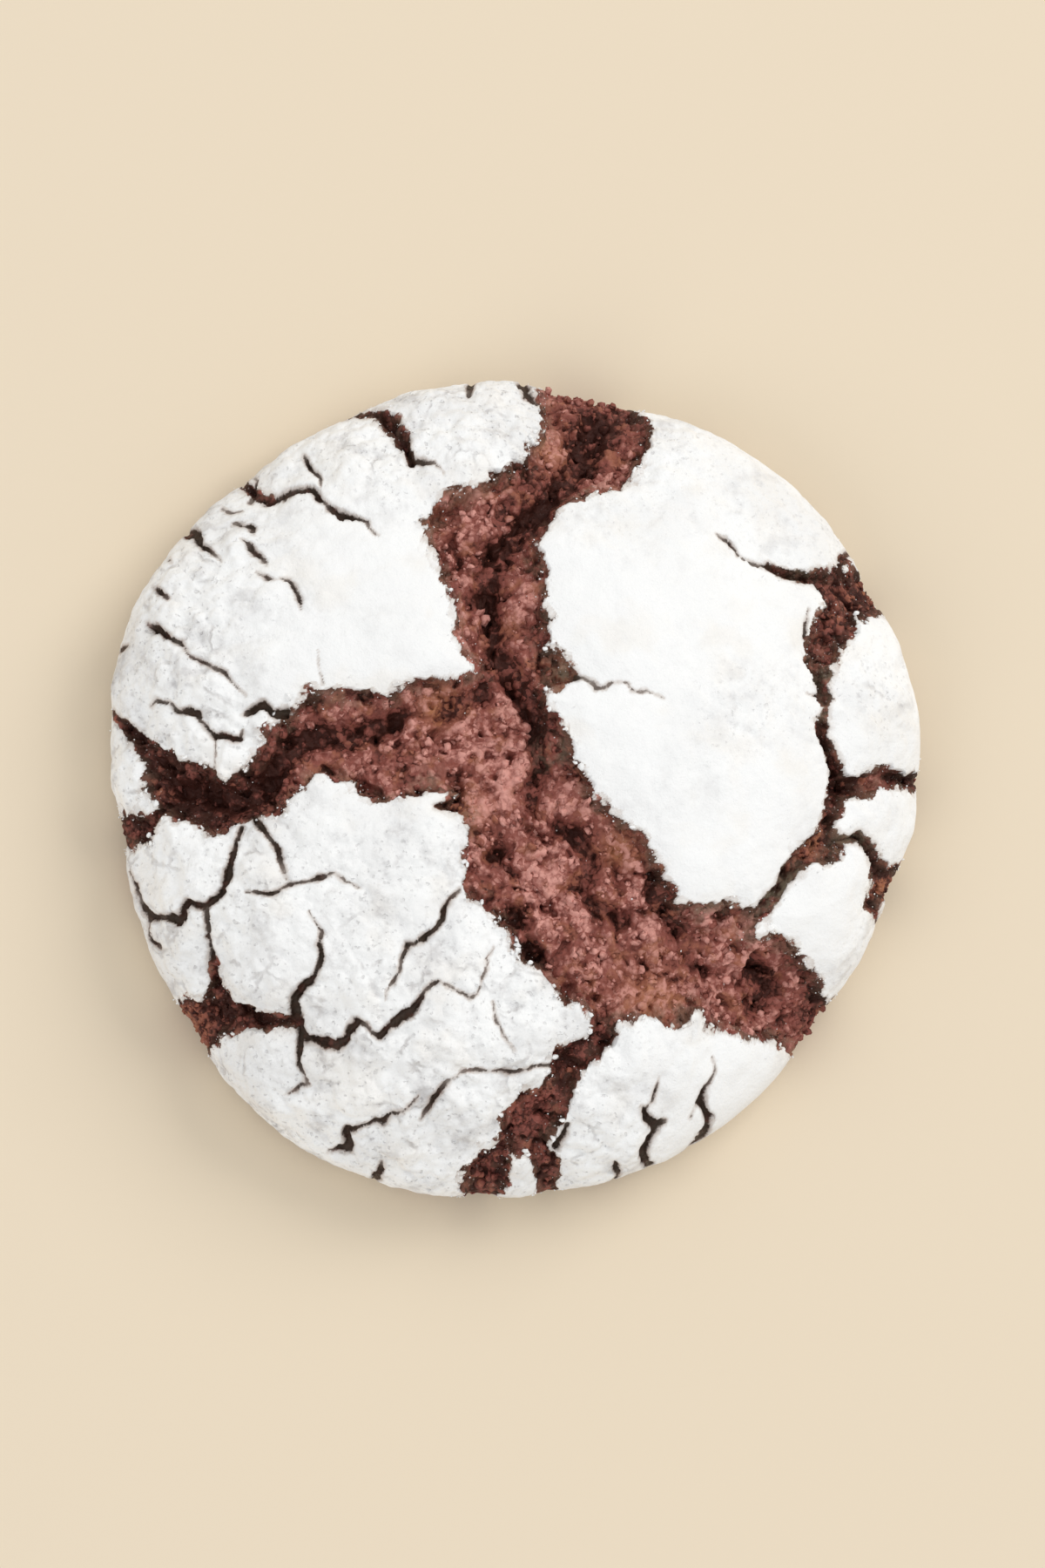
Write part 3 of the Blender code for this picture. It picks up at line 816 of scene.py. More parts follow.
def faceted_plan(x, y, points, sizes, share):
    """Plan places pulled towards the nearest scattered centre, once for each size of facet."""
    for number, size in enumerate(sizes):
        pull = FACET_PULL * nearest_centre(points, size, seed=151 + 10 * number)[0]
        x, y = x + share * pull[:, 0], y + share * pull[:, 1]
    return x, y


def even_distance(x, y, points):
    """Distance to the wandering edge of the wide cracks, and how wide the nearest one is."""
    distance, opening = crack_distance(x, y, WIDE_CRACKS)
    distance = np.maximum(distance, -crack_distance(x, y, CRUST_TONGUES)[0])
    wander = CRACK_WANDER * swelling(points, CRACK_WANDER_SIZE, seed=1)
    return distance + wander * freedom(opening), opening


def ragged_distance(x, y, points, free):
    """Distance to the faceted, toothed and lobed edge that the sugar has."""
    distance = even_distance(*faceted_plan(x, y, points, FACET_SIZES, free), points)[0]
    bulge = EDGE_BULGE + WORN_BULGE * wear_of(x, y, points)
    ragged = bulge * (lumps(points, EDGE_BULGE_SIZE, seed=71) - MEAN_LUMP) + CRUST_OVERHANG
    return distance + free * (ragged + EDGE_TEETH * swelling(points, EDGE_TEETH_SIZE, seed=2))


even_wide, opening = even_distance(plan_x, plan_y, skin_smooth)
at_edge = np.abs(even_wide) < EDGE_ZONE
to_wide = even_wide.copy()
to_wide[at_edge] = ragged_distance(
    plan_x[at_edge], plan_y[at_edge], skin_smooth[at_edge], freedom(opening[at_edge]),
)
print("share of the skin that is crumb:", round(float(np.mean(to_wide < 0.0)), 2))

# %% [markdown]
# The fine cracks are read from places that are shifted slowly and then pulled into small
# facets, so a thin line bends and breaks at angles. Their width swells and fails along the way.
# The folds in the crumb are soft, so they are only shifted.

# %% Measure the distances to the fine cracks and the folds
FINE_SHIFT = 0.2
FINE_SHIFT_SIZE = 1.1
FINE_WIDTH = 0.85
FINE_WIDTH_CHANGE = 0.3
FINE_WIDTH_SIZE = 1.3
FINE_FACET_SHARE = 0.6
FINE_CLOSING = 0.04
FOLD_TEETH = 0.25
FOLD_WIDTH = 0.55


def shifted_plan(x, y, points):
    """Plan places moved a little aside by two slow random fields."""
    aside_x = FINE_SHIFT * swelling(points, FINE_SHIFT_SIZE, seed=11)
    aside_y = FINE_SHIFT * swelling(points, FINE_SHIFT_SIZE, seed=12)
    return x + aside_x, y + aside_y


def fold_depth(x, y, points):
    """1 along the folds in the crumb, falling off on both sides like a bell curve."""
    distance = crack_distance(*shifted_plan(x, y, points), CRUMB_FOLDS)[0]
    distance += FOLD_TEETH * swelling(points, FINE_SHIFT_SIZE, seed=13)
    return np.exp(-(np.maximum(distance, 0.0) / FOLD_WIDTH) ** 2)


width_change = FINE_WIDTH_CHANGE * swelling(skin_smooth, FINE_WIDTH_SIZE, seed=14)
fine_x, fine_y = shifted_plan(plan_x, plan_y, skin_smooth)
fine_x, fine_y = faceted_plan(fine_x, fine_y, skin_smooth, FACET_SIZES[1:], FINE_FACET_SHARE)
narrowing = FINE_WIDTH + width_change
to_fine, fine_opening = crack_distance(fine_x, fine_y, FINE_CRACKS, narrowing)
to_fine += FINE_CLOSING
fold = np.zeros(len(skin_smooth))
in_dough = even_wide < EDGE_ZONE
fold[in_dough] = fold_depth(plan_x[in_dough], plan_y[in_dough], skin_smooth[in_dough])
print("share of the skin in fine cracks:", round(float(np.mean(to_fine < 0.0)), 3))

# %% [markdown]
# The crust doesn't reach the foot, where the ball of dough rested and its sugar came off. It
# ends in a ragged line about a millimetre up, and the bare dough shows below.

# %% End the crust above the foot
FOOT_EDGE = 0.9
FOOT_RAG = 1.3
FOOT_RAG_SIZE = 3.8
FOOT_TEETH = 0.5
FOOT_TEETH_SIZE = 1.3

to_foot = skin_smooth[:, 2] - FOOT_EDGE
to_foot += FOOT_RAG * swelling(skin_smooth, FOOT_RAG_SIZE, seed=8)
to_foot += FOOT_TEETH * swelling(skin_smooth, FOOT_TEETH_SIZE, seed=9)
to_crumb = np.where(beyond_rim > 0.0, np.minimum(to_wide, to_foot), to_wide)
print("share of the skin without crust:", round(float(np.mean(to_crumb < 0.0)), 2))

# %% [markdown]
# The relief then adds up. On the plates there is a cushion's swell with long waves. In the
# cracks there is a step down from the crust and a sagging floor.

# %% Define the swell of the plates and the floor of the cracks, in millimetres
SWELL_REACH = 2.2
CRUST_STEP = 0.9
STEP_WIDTH = 0.5
FLOOR_SAG = 0.8
SAG_REACH = 2.5
PLATE_WAVE = 0.35
PLATE_WAVE_SIZE = 9.0


def ground(points, even, ragged):
    """The swell, waves and sag follow the even distance, and the step the ragged one."""
    inside = np.maximum(-even, 0.0)
    height = PLATE_SWELL * (1.0 - np.exp(-np.maximum(even, 0.0) / SWELL_REACH))
    height += PLATE_WAVE * swelling(points, PLATE_WAVE_SIZE, seed=3)
    height -= CRUST_STEP * smooth_step(np.maximum(-ragged, 0.0) / STEP_WIDTH)
    return height - FLOOR_SAG * (1.0 - np.exp(-inside / SAG_REACH))


def settle(points, normals, relief):
    """Moves the smooth points outwards by the relief, less of it on the side, none at the base."""
    upright = smooth_step(1.0 - normals[:, 2])
    share = (1.0 - (1.0 - SIDE_RELIEF) * upright) * smooth_step(points[:, 2] / WIDEST_HEIGHT)
    return points + normals * (relief * share)[:, None]


print("step down from the crust in mm:", CRUST_STEP)

# %% [markdown]
# Caked sugar isn't smooth. It has wrinkles of several sizes, and where it is worn it has broken
# into a low rubble, which is the same heaps of lumps as the crumb, only flatter. Each fine
# crack is a groove in it with its edges pressed down.

# %% Add up the crust's own relief
WRINKLE_SIZES = (4.2, 2.3, 1.1, 0.55)
WRINKLE_HEIGHTS = (0.24, 0.24, 0.12, 0.05)
SMOOTH_WRINKLES = 0.45
WORN_WRINKLES = 1.2
RUBBLE_SIZES = (1.5, 0.8)
RUBBLE_HEIGHTS = (0.46, 0.28)
RUBBLE_BEND = 0.3
GROOVE_DEPTH = 0.7
GROOVE_EDGE = 0.1
GROOVE_SLOPE = 0.25
GROOVE_FULL = 0.4
GROOVE_PRESS = 0.2
GROOVE_REACH = 0.8


def bend(points, amount, size, seed):
    """Points moved aside by three random fields, one for each direction."""
    aside = [swelling(points, size, seed + axis) for axis in range(3)]
    return points + amount * np.column_stack(aside)


wrinkles = np.zeros(len(skin_smooth))
for number, (size, height) in enumerate(zip(WRINKLE_SIZES, WRINKLE_HEIGHTS)):
    wrinkles += height * swelling(skin_smooth, size, seed=31 + number)
wrinkles *= SMOOTH_WRINKLES + WORN_WRINKLES * wear
for number, (size, height) in enumerate(zip(RUBBLE_SIZES, RUBBLE_HEIGHTS)):
    bent = bend(skin_smooth, RUBBLE_BEND * size, size, seed=161 + 10 * number)
    wrinkles += height * (lumps(bent, size, seed=164 + 10 * number) - MEAN_LUMP) * wear
groove = -GROOVE_DEPTH * smooth_step((GROOVE_EDGE - to_fine) / GROOVE_SLOPE)
groove *= smooth_step(fine_opening / GROOVE_FULL)
groove -= GROOVE_PRESS * np.exp(-np.maximum(to_fine, 0.0) / GROOVE_REACH)
print("deepest groove in mm:", round(float(groove.min()), 2))

# %% [markdown]
# The crumb is torn dough: clots of several sizes with pits between them. Rounded heaps of
# three sizes give the clots. Bending the places that they are read from, first widely and then
# finely, breaks their round shape. The pits are where a random field is high. The wider fine
# cracks gape far enough to show some of it too.

# %% Define the crumb's relief
CLOT_SIZES = (2.3, 1.15, 0.6)
CLOT_HEIGHTS = (0.8, 0.6, 0.36)
CLOT_BENDS = ((0.5, 1.6), (0.22, 0.6))
PIT_DEPTH = 0.7
PIT_SIZE = 1.5
PIT_FROM = 0.25
PIT_SLOPE = 0.4
PORE_DEPTH = 0.5
PORE_SIZE = 0.75
PORE_FROM = 0.3
PORE_SLOPE = 0.35
FOLD_DEPTH = 1.15
CRUMB_WAVE = 0.4
CRUMB_WAVE_SIZE = 2.6
GAPE_OPENING = 0.35
GAPE_RISE = 0.25
GAPE_SLOPE = 0.3
GAPE_SHARE = 0.6


def crumb_relief(points, fold):
    """Clots of three sizes, less the pits, pores and folds. Also returns the clots' share."""
    bent = points
    for number, (amount, size) in enumerate(CLOT_BENDS):
        bent = bend(bent, amount, size, seed=81 + 3 * number)
    clots = np.zeros(len(points))
    for number, (size, height) in enumerate(zip(CLOT_SIZES, CLOT_HEIGHTS)):
        clots += height * (lumps(bent, size, seed=41 + 10 * number) - MEAN_LUMP)
    pits = smooth_step((swelling(bent, PIT_SIZE, seed=91) - PIT_FROM) / PIT_SLOPE)
    pores = smooth_step((swelling(bent, PORE_SIZE, seed=92) - PORE_FROM) / PORE_SLOPE)
    clots -= PIT_DEPTH * pits
    clots -= PORE_DEPTH * pores
    waves = CRUMB_WAVE * swelling(points, CRUMB_WAVE_SIZE, seed=5)
    return clots + waves - FOLD_DEPTH * fold, clots


in_crumb = smooth_step(np.maximum(-to_crumb, 0.0) / STEP_WIDTH)
in_gape = smooth_step(-to_fine / GAPE_SLOPE)
in_gape *= smooth_step((fine_opening - GAPE_OPENING) / GAPE_RISE)
dough_share = np.maximum(in_crumb, GAPE_SHARE * in_gape)
open_dough = dough_share > 0.0
rough, clots = np.zeros(len(skin_smooth)), np.zeros(len(skin_smooth))
rough[open_dough], clots[open_dough] = crumb_relief(skin_smooth[open_dough], fold[open_dough])
print("clots rise above their pits by", round(float(np.ptp(clots)), 2), "mm")

# %% [markdown]
# Now the smooth points can be moved out to their places. The dough trembles a little besides,
# sideways too, so that clots overhang their pits as torn dough does. Near the foot the skin
# tucks in under the core, which is made next.

# %% Shape the skin
DEEPEST = -4.0
CRUMB_TREMBLE = 0.15
TREMBLE_SIZE = 0.45
TUCK = 0.25
TUCK_HEIGHT = 1.0
TUCK_SLOPE = 0.5
LEAST_LENGTH = 1e-12

relief = ground(skin_smooth, even_wide, to_crumb) + rough * dough_share
relief += (wrinkles + groove) * (1.0 - in_crumb)
skin_points = settle(skin_smooth, skin_normals, np.maximum(relief, DEEPEST))
trembling = bend(skin_points, CRUMB_TREMBLE, TREMBLE_SIZE, seed=85) - skin_points
above_tuck = smooth_step(skin_smooth[:, 2] - TUCK_HEIGHT)
skin_points += trembling * (in_crumb * above_tuck)[:, None]
tuck = TUCK * smooth_step((TUCK_HEIGHT - skin_smooth[:, 2]) / TUCK_SLOPE)
skin_points -= skin_normals * tuck[:, None]


def point_normals(points, quads):
    """Normals at the points: the sum of the crossed diagonals of the squares round each one."""
    first_diagonal = points[quads[:, 2]] - points[quads[:, 0]]
    second_diagonal = points[quads[:, 3]] - points[quads[:, 1]]
    crossed = np.cross(first_diagonal, second_diagonal)
    total = np.zeros_like(points)
    for corner in range(4):
        for axis in range(3):
            total[:, axis] += np.bincount(quads[:, corner], crossed[:, axis], len(points))
    return total / np.maximum(np.linalg.norm(total, axis=1, keepdims=True), LEAST_LENGTH)


skin_quads = grid_quads(SKIN_CELLS)
fine_normals = point_normals(skin_points, skin_quads)
print("highest point in mm:", round(float(skin_points[:, 2].max()), 2))

# %% [markdown]
# ## The core
#
# Under the skin lies the body of the dough, a closed piece that stands for the solid. It has
# the same swell and the same wide cracks, but it stays below the skin everywhere and comes out
# only at the foot. The base lies flat, with shallow pits where steam lifted it. It needs less
# detail, so it has a quarter as many cells each way, and a ring of triangles joins the two:
# five triangles for every four edges of the core and one of the base.

# %% Make the core, with its base
CORE_CELLS = 280
CORE_PER_BASE = 4
BASE_CELLS = CORE_CELLS // CORE_PER_BASE
BASE_SHARE = 0.985
BASE_PIT = 0.35
BASE_PIT_SIZE = 3.1
BASE_HOLLOW_SIZE = 8.0
BASE_HOLLOW_FROM = 0.15
BASE_FLAT_RING = 0.1
CRUST_THICKNESS = 1.4
CORE_CRACK_DEPTH = 3.4
CORE_CRACK_EDGE = 1.2
CORE_DEEPEST = DEEPEST - 1.0


def make_piece(name, points, faces):
    """A smooth-shaded object at the origin from points in millimetres."""
    mesh = bpy.data.meshes.new(name)
    mesh.from_pydata((points * MM).tolist(), [], faces)
    mesh.shade_smooth()
    mesh.update()
    triangles = sum(len(face) - 2 for face in faces)
    print(name, "has", triangles, "triangles")
    return add_object(name, mesh)


def store(piece, name, values):
    """One number for each point, which a material reads by name."""
    attribute = piece.data.attributes.new(name, "FLOAT", "POINT")
    attribute.data.foreach_set("value", np.asarray(values, dtype=np.float32))


core_smooth, core_normals, core_x, core_y, _ = lay_out(CORE_CELLS)
core_even, _ = even_distance(core_x, core_y, core_smooth)
hollow = smooth_step(CORE_CRACK_EDGE - core_even)
core_relief = ground(core_smooth, core_even, np.ones_like(core_even))
core_relief -= CRUST_THICKNESS + CORE_CRACK_DEPTH * hollow
core_top = settle(core_smooth, core_normals, np.maximum(core_relief, CORE_DEEPEST))

base_share, base_angle = disc_grid(BASE_CELLS)
base_reach = base_share * BASE_SHARE * (1.0 - FOOT_INSET) * rim_radius(base_angle)
base_points = np.column_stack([
    base_reach * np.cos(base_angle),
    base_reach * np.sin(base_angle),
    np.zeros_like(base_reach),
])
pits = np.maximum(lumps(base_points, BASE_PIT_SIZE, seed=61) - MEAN_LUMP, 0.0)
pits += np.maximum(swelling(base_points, BASE_HOLLOW_SIZE, seed=62) - BASE_HOLLOW_FROM, 0.0)
base_points[:, 2] = BASE_PIT * pits * smooth_step((1.0 - base_share) / BASE_FLAT_RING)

outer = grid_ring(CORE_CELLS)
near = grid_ring(BASE_CELLS) + len(core_top)
far = np.roll(near, -1)
step = [np.roll(outer, -shift)[::CORE_PER_BASE] for shift in range(CORE_PER_BASE + 1)]
ring_triangles = np.concatenate([
    np.column_stack([step[1], step[0], near]),
    np.column_stack([step[2], step[1], near]),
    np.column_stack([near, far, step[2]]),
    np.column_stack([step[3], step[2], far]),
    np.column_stack([step[4], step[3], far]),
])
base_quads = grid_quads(BASE_CELLS)[:, ::-1] + len(core_top)
core_faces = grid_quads(CORE_CELLS).tolist() + base_quads.tolist() + ring_triangles.tolist()
core = make_piece("dough_core", np.concatenate([core_top, base_points]), core_faces)

# %% [markdown]
# ## Cutting the skin into pieces
#
# The skin has too many squares for one mesh, so it is cut where the real crust is cut: along
# the middles of the cracks. Each chain of circles runs all one way, so a line through its
# middles can be read like a graph, and a square lies on one side of it or the other. All the
# pieces keep the whole skin's normals, so that no seam shows in the light.

# %% Say which plate each square belongs to
CRUMB_BORDER = -0.3
SKIN_FOOT = 0.45


def crack_line(names, along):
    """The middles of one or more chains as two rising arrays, sorted along X (0) or Y (1)."""
    middles = np.array([link[:2] for name in names for link in ALL_CRACKS[name]])
    middles = middles[np.argsort(middles[:, along])]
    return middles[:, along], middles[:, 1 - along]


ALL_CRACKS = {**WIDE_CRACKS, **FINE_CRACKS}
square_x, square_y = plan_x[skin_quads].mean(axis=1), plan_y[skin_quads].mean(axis=1)
main_line = crack_line(("north arm", "trunk", "south-east arm"), 1)
east_line = crack_line(("east crack tail", "east descent"), 1)
west_line = crack_line(("west arm",), 0)
south_line = crack_line(("south crack",), 1)

right_of_main = square_x > np.interp(square_y, *main_line)
right_of_east = square_x > np.interp(square_y, *east_line)
above_west = square_y > np.interp(square_x, *west_line)
left_of_south = square_x < np.interp(square_y, *south_line)
in_crumb_square = (even_wide[skin_quads] < CRUMB_BORDER).all(axis=1)
in_crumb_square &= skin_smooth[skin_quads, 2].min(axis=1) > TUCK_HEIGHT
above_foot = skin_smooth[skin_quads, 2].min(axis=1) > SKIN_FOOT

on_plate = ~in_crumb_square & above_foot
plates = {
    "crust_right": on_plate & right_of_main & ~right_of_east,
    "crust_east": on_plate & right_of_main & right_of_east,
    "crust_upper_left": on_plate & ~right_of_main & above_west,
    "crust_lower_left": on_plate & ~right_of_main & ~above_west & left_of_south,
    "crust_south": on_plate & ~right_of_main & ~above_west & ~left_of_south,
}
print("squares on the plates:", {name: int(chosen.sum()) for name, chosen in plates.items()})

# %% [markdown]
# Each piece also stores the numbers that its colours depend on. `crest` is high on the clots of
# the crumb and low in its pits, and it paints light on the clots and shade in the pits. `shade`
# is painted shade: high in narrow cracks, in folds, and in the shadow of crust that stands to
# the upper right, towards the key lamp. The dough isn't evenly dark besides: it is darker in the
# west and at the far ends, partly painted shade and partly moister dough, and lighter in the
# middle, so `shade` also takes a bell curve at each of a few places. `warm` marks where the
# dough is more orange than elsewhere, most of it thin flakes that dried beside the crust, and
# `dusty` where a narrow crack is khaki with sugar.

# %% Work out the colour numbers
# Darker places: partly painted shade and partly moister dough.
DARK_PLACES = (
    (-25.0, -1.0, 5.5, 0.5), (7.2, 29.2, 3.0, 0.8), (10.5, 30.0, 2.4, 0.4),
    (-8.0, 1.5, 1.8, 0.3), (15.0, -13.5, 2.0, 0.35), (28.3, 14.8, 2.5, 0.35),
    (4.2, 3.0, 1.3, 0.35), (25.5, -18.5, 2.2, 0.3), (-23.5, -19.2, 3.0, 0.4),
)
LIGHT_PLACES = (
    (4.2, 9.0, 1.7, 1.0), (0.2, 7.0, 1.4, 0.85), (0.0, 1.0, 2.2, 0.35), (-3.8, -2.0, 1.8, 0.5),
    (3.0, -8.0, 2.6, 0.4), (8.8, -5.0, 1.3, 0.5), (-18.5, 1.0, 1.4, 0.6), (-3.0, -5.0, 1.3, 0.35),
    (-2.8, 13.0, 1.5, 0.5), (30.3, 0.7, 1.2, 0.7), (20.5, -12.5, 1.3, 0.5),
    (1.8, -12.0, 1.6, 0.4), (11.5, -10.5, 1.5, 0.4), (4.0, 28.0, 1.2, 0.9),
    (24.8, -4.6, 1.4, 0.4), (25.5, 10.5, 1.2, 0.3), (16.0, -9.9, 1.2, 0.5),
)
WARM_PLACES = (
    (-3.4, -2.0, 1.6, 1.0), (-5.5, 6.5, 1.8, 1.0), (11.5, -17.2, 2.2, 1.0),
    (9.0, -5.0, 1.5, 1.0), (3.6, 27.9, 1.6, 1.0), (-26.5, -20.5, 2.6, 0.7),
    (31.0, -8.0, 2.0, 1.0), (28.5, 15.5, 2.2, 0.6), (12.5, -6.8, 1.0, 0.8),
    (4.2, 9.0, 1.5, 0.8), (24.8, -4.6, 1.8, 0.7), (-6.5, 22.0, 1.6, 0.6),
)
DUSTY_PLACES = (
    (21.6, -8.2, 2.4, 1.0), (25.3, 8.8, 1.3, 0.7), (25.4, 6.2, 0.8, 1.0), (27.6, -4.1, 1.4, 0.9),
    (23.0, 17.1, 1.6, 0.5), (3.6, 2.6, 1.4, 0.5), (-6.5, 0.2, 1.2, 0.5), (16.0, -9.9, 1.4, 0.6),
    (4.2, 8.9, 1.2, 0.9),
)
NARROW_OPENING = 0.2
NARROW_RISE = 4.6
NARROW_SHADE = 0.85
FOLD_SHADE = 0.8
SHADOW_STEP = (0.95, 0.8)
SHADOW_EDGE = 0.4
SHADOW_SLOPE = 0.9
CAST_SHADOW_SHADE = 0.45
LIGHTEST_SHADE = -0.6
MIDDLE_CREST = 0.5
CREST_RISE = 1.6
CRUST_CREST = 0.35
SHADE_EDGE = 0.5
UNDERSIDE_HEIGHT = 0.8


def crumb_shade(x, y, opening, fold):
    """Painted shade: 0 in open dough, up to 1 in narrow cracks, folds, shadows and dark places,
    below 0 in light places.
    """
    narrow = 1.0 - smooth_step((opening - NARROW_OPENING) / NARROW_RISE)
    # Painted shadow: dough with crust a step towards the key lamp, at the upper right, is darkened
    # as if in its shadow.
    beyond = crack_distance(x + SHADOW_STEP[0], y + SHADOW_STEP[1], WIDE_CRACKS)[0]
    in_crust_shadow = smooth_step((beyond + SHADOW_EDGE) / SHADOW_SLOPE)
    tone = highest_bell(x, y, DARK_PLACES) - highest_bell(x, y, LIGHT_PLACES)
    shade = NARROW_SHADE * narrow + FOLD_SHADE * fold + CAST_SHADOW_SHADE * in_crust_shadow + tone
    return np.clip(shade, LIGHTEST_SHADE, 1.0)


# Painted light and shade: the crumb's tone follows `crest`, lighter on the clots and darker in the
# pits.
crest = np.clip(MIDDLE_CREST + clots / CREST_RISE, 0.0, 1.0)
crest = np.where(open_dough, crest, CRUST_CREST)
shade = np.zeros(len(skin_smooth))
shade[in_dough] = crumb_shade(
    plan_x[in_dough], plan_y[in_dough], opening[in_dough], fold[in_dough],
)
shade_at_point = shade * smooth_step(SHADE_EDGE - even_wide)
warm = highest_bell(plan_x, plan_y, WARM_PLACES)
skin_numbers = {
    "to_crumb": to_crumb, "to_fine": to_fine, "fine_opening": fine_opening, "wear": wear,
    "crest": crest, "shade": shade_at_point, "warm": warm,
    "dusty": highest_bell(plan_x, plan_y, DUSTY_PLACES),
    "underside": smooth_step(1.0 - skin_smooth[:, 2] / UNDERSIDE_HEIGHT),
}
print("mean shade of the crumb:", round(float(shade[open_dough].mean()), 2))

# %% [markdown]
# A piece is a mesh of its own squares, with the points, normals and numbers that belong to them.
# Neighbours keep the same places along the cut, so no gap opens between them.

# %% Cut the pieces
def skin_piece(name, squares):
    """The part of the skin with these squares, with the whole skin's normals and numbers."""
    used, faces = np.unique(squares, return_inverse=True)
    piece = make_piece(name, skin_points[used], faces.reshape(-1, 4).tolist())
    piece.data.normals_split_custom_set_from_vertices(fine_normals[used].tolist())
    for label, values in skin_numbers.items():
        store(piece, label, values[used])
    return piece


skin_pieces = [skin_piece(name, skin_quads[chosen]) for name, chosen in plates.items()]
skin_pieces.append(skin_piece("crumb_skin", skin_quads[in_crumb_square]))

# %% [markdown]
# ## Materials
#
# The cookie has three finishes: powdered sugar, chocolate crumb and baked dough. Each is a node
# group, because more than one piece uses it. A group gives a colour, a roughness and a height,
# and the material feeds them to its own shader. Lengths in the groups are millimetres. Most
# patterns are noises that rise from one value to another, and most colours are layers, one over
# another, so the helpers have a step for each.

# %% Define the helpers that wire up nodes
COLOR_MIX = {"kind": "RGBA", "first": 6, "second": 7, "result": 2}
NUMBER_MIX = {"kind": "FLOAT", "first": 2, "second": 3, "result": 0}


class Wiring:
    """Adds nodes to one tree and joins them, with plain numbers or sockets as inputs."""

    def __init__(self, tree):
        self.tree = tree

    def node(self, kind, **settings):
        """A new node with the given settings."""
        made = self.tree.nodes.new(kind)
        for key, value in settings.items():
            setattr(made, key, value)
        return made

    def feed(self, socket, value):
        """Joins a socket to another, or sets its number or colour."""
        if isinstance(value, bpy.types.NodeSocket):
            self.tree.links.new(value, socket)
        elif socket.type == "RGBA":
            socket.default_value = (*value, 1.0)
        else:
            socket.default_value = value

    def math(self, operation, *values):
        """One arithmetic step on one to three values."""
        made = self.node("ShaderNodeMath", operation=operation)
        for socket, value in zip(made.inputs, values):
            self.feed(socket, value)
        return made.outputs[0]

    def total(self, *values):
        """The sum of several values."""
        result = values[0]
        for value in values[1:]:
            result = self.math("ADD", result, value)
        return result

    def times(self, *values):
        """The product of several values."""
        result = values[0]
        for value in values[1:]:
            result = self.math("MULTIPLY", result, value)
        return result

    def rise(self, value, low, high, start=0.0, end=1.0):
        """An S-shaped change from `start` at `low` to `end` at `high`."""
        made = self.node("ShaderNodeMapRange", interpolation_type="SMOOTHSTEP")
        limits = {"From Min": low, "From Max": high, "To Min": start, "To Max": end}
        for name, limit in limits.items():
            self.feed(made.inputs[name], limit)
        self.feed(made.inputs["Value"], value)
        return made.outputs["Result"]

    def weighted(self, *pairs):
        """The sum of several values, each times its own weight."""
        return self.total(*[self.times(value, weight) for value, weight in pairs])

    def blend(self, factor, first, second, sort=COLOR_MIX):
        """A colour, or a number, between two others."""
        made = self.node("ShaderNodeMix", data_type=sort["kind"])
        self.feed(made.inputs[0], factor)
        self.feed(made.inputs[sort["first"]], first)
        self.feed(made.inputs[sort["second"]], second)
        return made.outputs[sort["result"]]

    def layers(self, color, *covers):
        """A colour with others laid over it in turn, each a pair of a mask and a colour."""
        for mask, cover in covers:
            color = self.blend(mask, color, cover)
        return color

    def place(self):
        """The place on the piece, in millimetres."""
        coordinates = self.node("ShaderNodeTexCoord")
        scaled = self.node("ShaderNodeVectorMath", operation="SCALE")
        self.feed(scaled.inputs["Vector"], coordinates.outputs["Object"])
        self.feed(scaled.inputs["Scale"], 1.0 / MM)
        return scaled.outputs["Vector"]

    def noise(self, place, size, detail=2.0, roughness=0.5, output="Fac"):
        """Random value about 0.5, with swellings of about `size` millimetres."""
        made = self.node("ShaderNodeTexNoise")
        self.feed(made.inputs["Vector"], place)
        self.feed(made.inputs["Scale"], 1.0 / size)
        self.feed(made.inputs["Detail"], detail)
        self.feed(made.inputs["Roughness"], roughness)
        return made.outputs[output]

    def patches(self, place, size, low, high, detail=2.0, roughness=0.5):
        """0 to 1: an S-shaped rise where a noise goes from `low` to `high`."""
        return self.rise(self.noise(place, size, detail, roughness), low, high)

    def cells(self, place, size, feature="F1"):
        """A Voronoi node with cells of about `size` millimetres."""
        made = self.node("ShaderNodeTexVoronoi", feature=feature)
        self.feed(made.inputs["Vector"], place)
        self.feed(made.inputs["Scale"], 1.0 / size)
        return made.outputs

    def bent(self, place, size, amount):
        """The place moved aside by a noise, by up to about half of `amount`."""
        scaled = self.node("ShaderNodeVectorMath", operation="MULTIPLY_ADD")
        self.feed(scaled.inputs[0], self.noise(place, size, output="Color"))
        self.feed(scaled.inputs[1], (amount, amount, amount))
        self.feed(scaled.inputs[2], place)
        return scaled.outputs[0]

    def stored(self, name):
        """A number that the mesh stores for each point."""
        return self.node("ShaderNodeAttribute", attribute_name=name).outputs["Fac"]

    def group(self, tree, **values):
        """A node group placed in this tree with its own input values."""
        made = self.node("ShaderNodeGroup", node_tree=tree)
        for label, value in values.items():
            self.feed(made.inputs[label], value)
        return made.outputs

    def put_out(self, **parts):
        """Joins values to the node group's own outputs."""
        outputs = self.node("NodeGroupOutput").inputs
        for label, value in parts.items():
            self.feed(outputs[label], value)


print("node helpers ready")

# %% [markdown]
# Every finish gives the same three things, so the sockets of the groups and the inputs of the
# shaders are joined by the same few lines each time. The height goes through a Bump node, which
# shades the surface as if it stood out, without moving it.

# %% Define how a finish is made and used
FLOAT = "NodeSocketFloat"
COLOR = "NodeSocketColor"
FINISH_OUTPUTS = {"Color": COLOR, "Roughness": FLOAT, "Height": FLOAT}


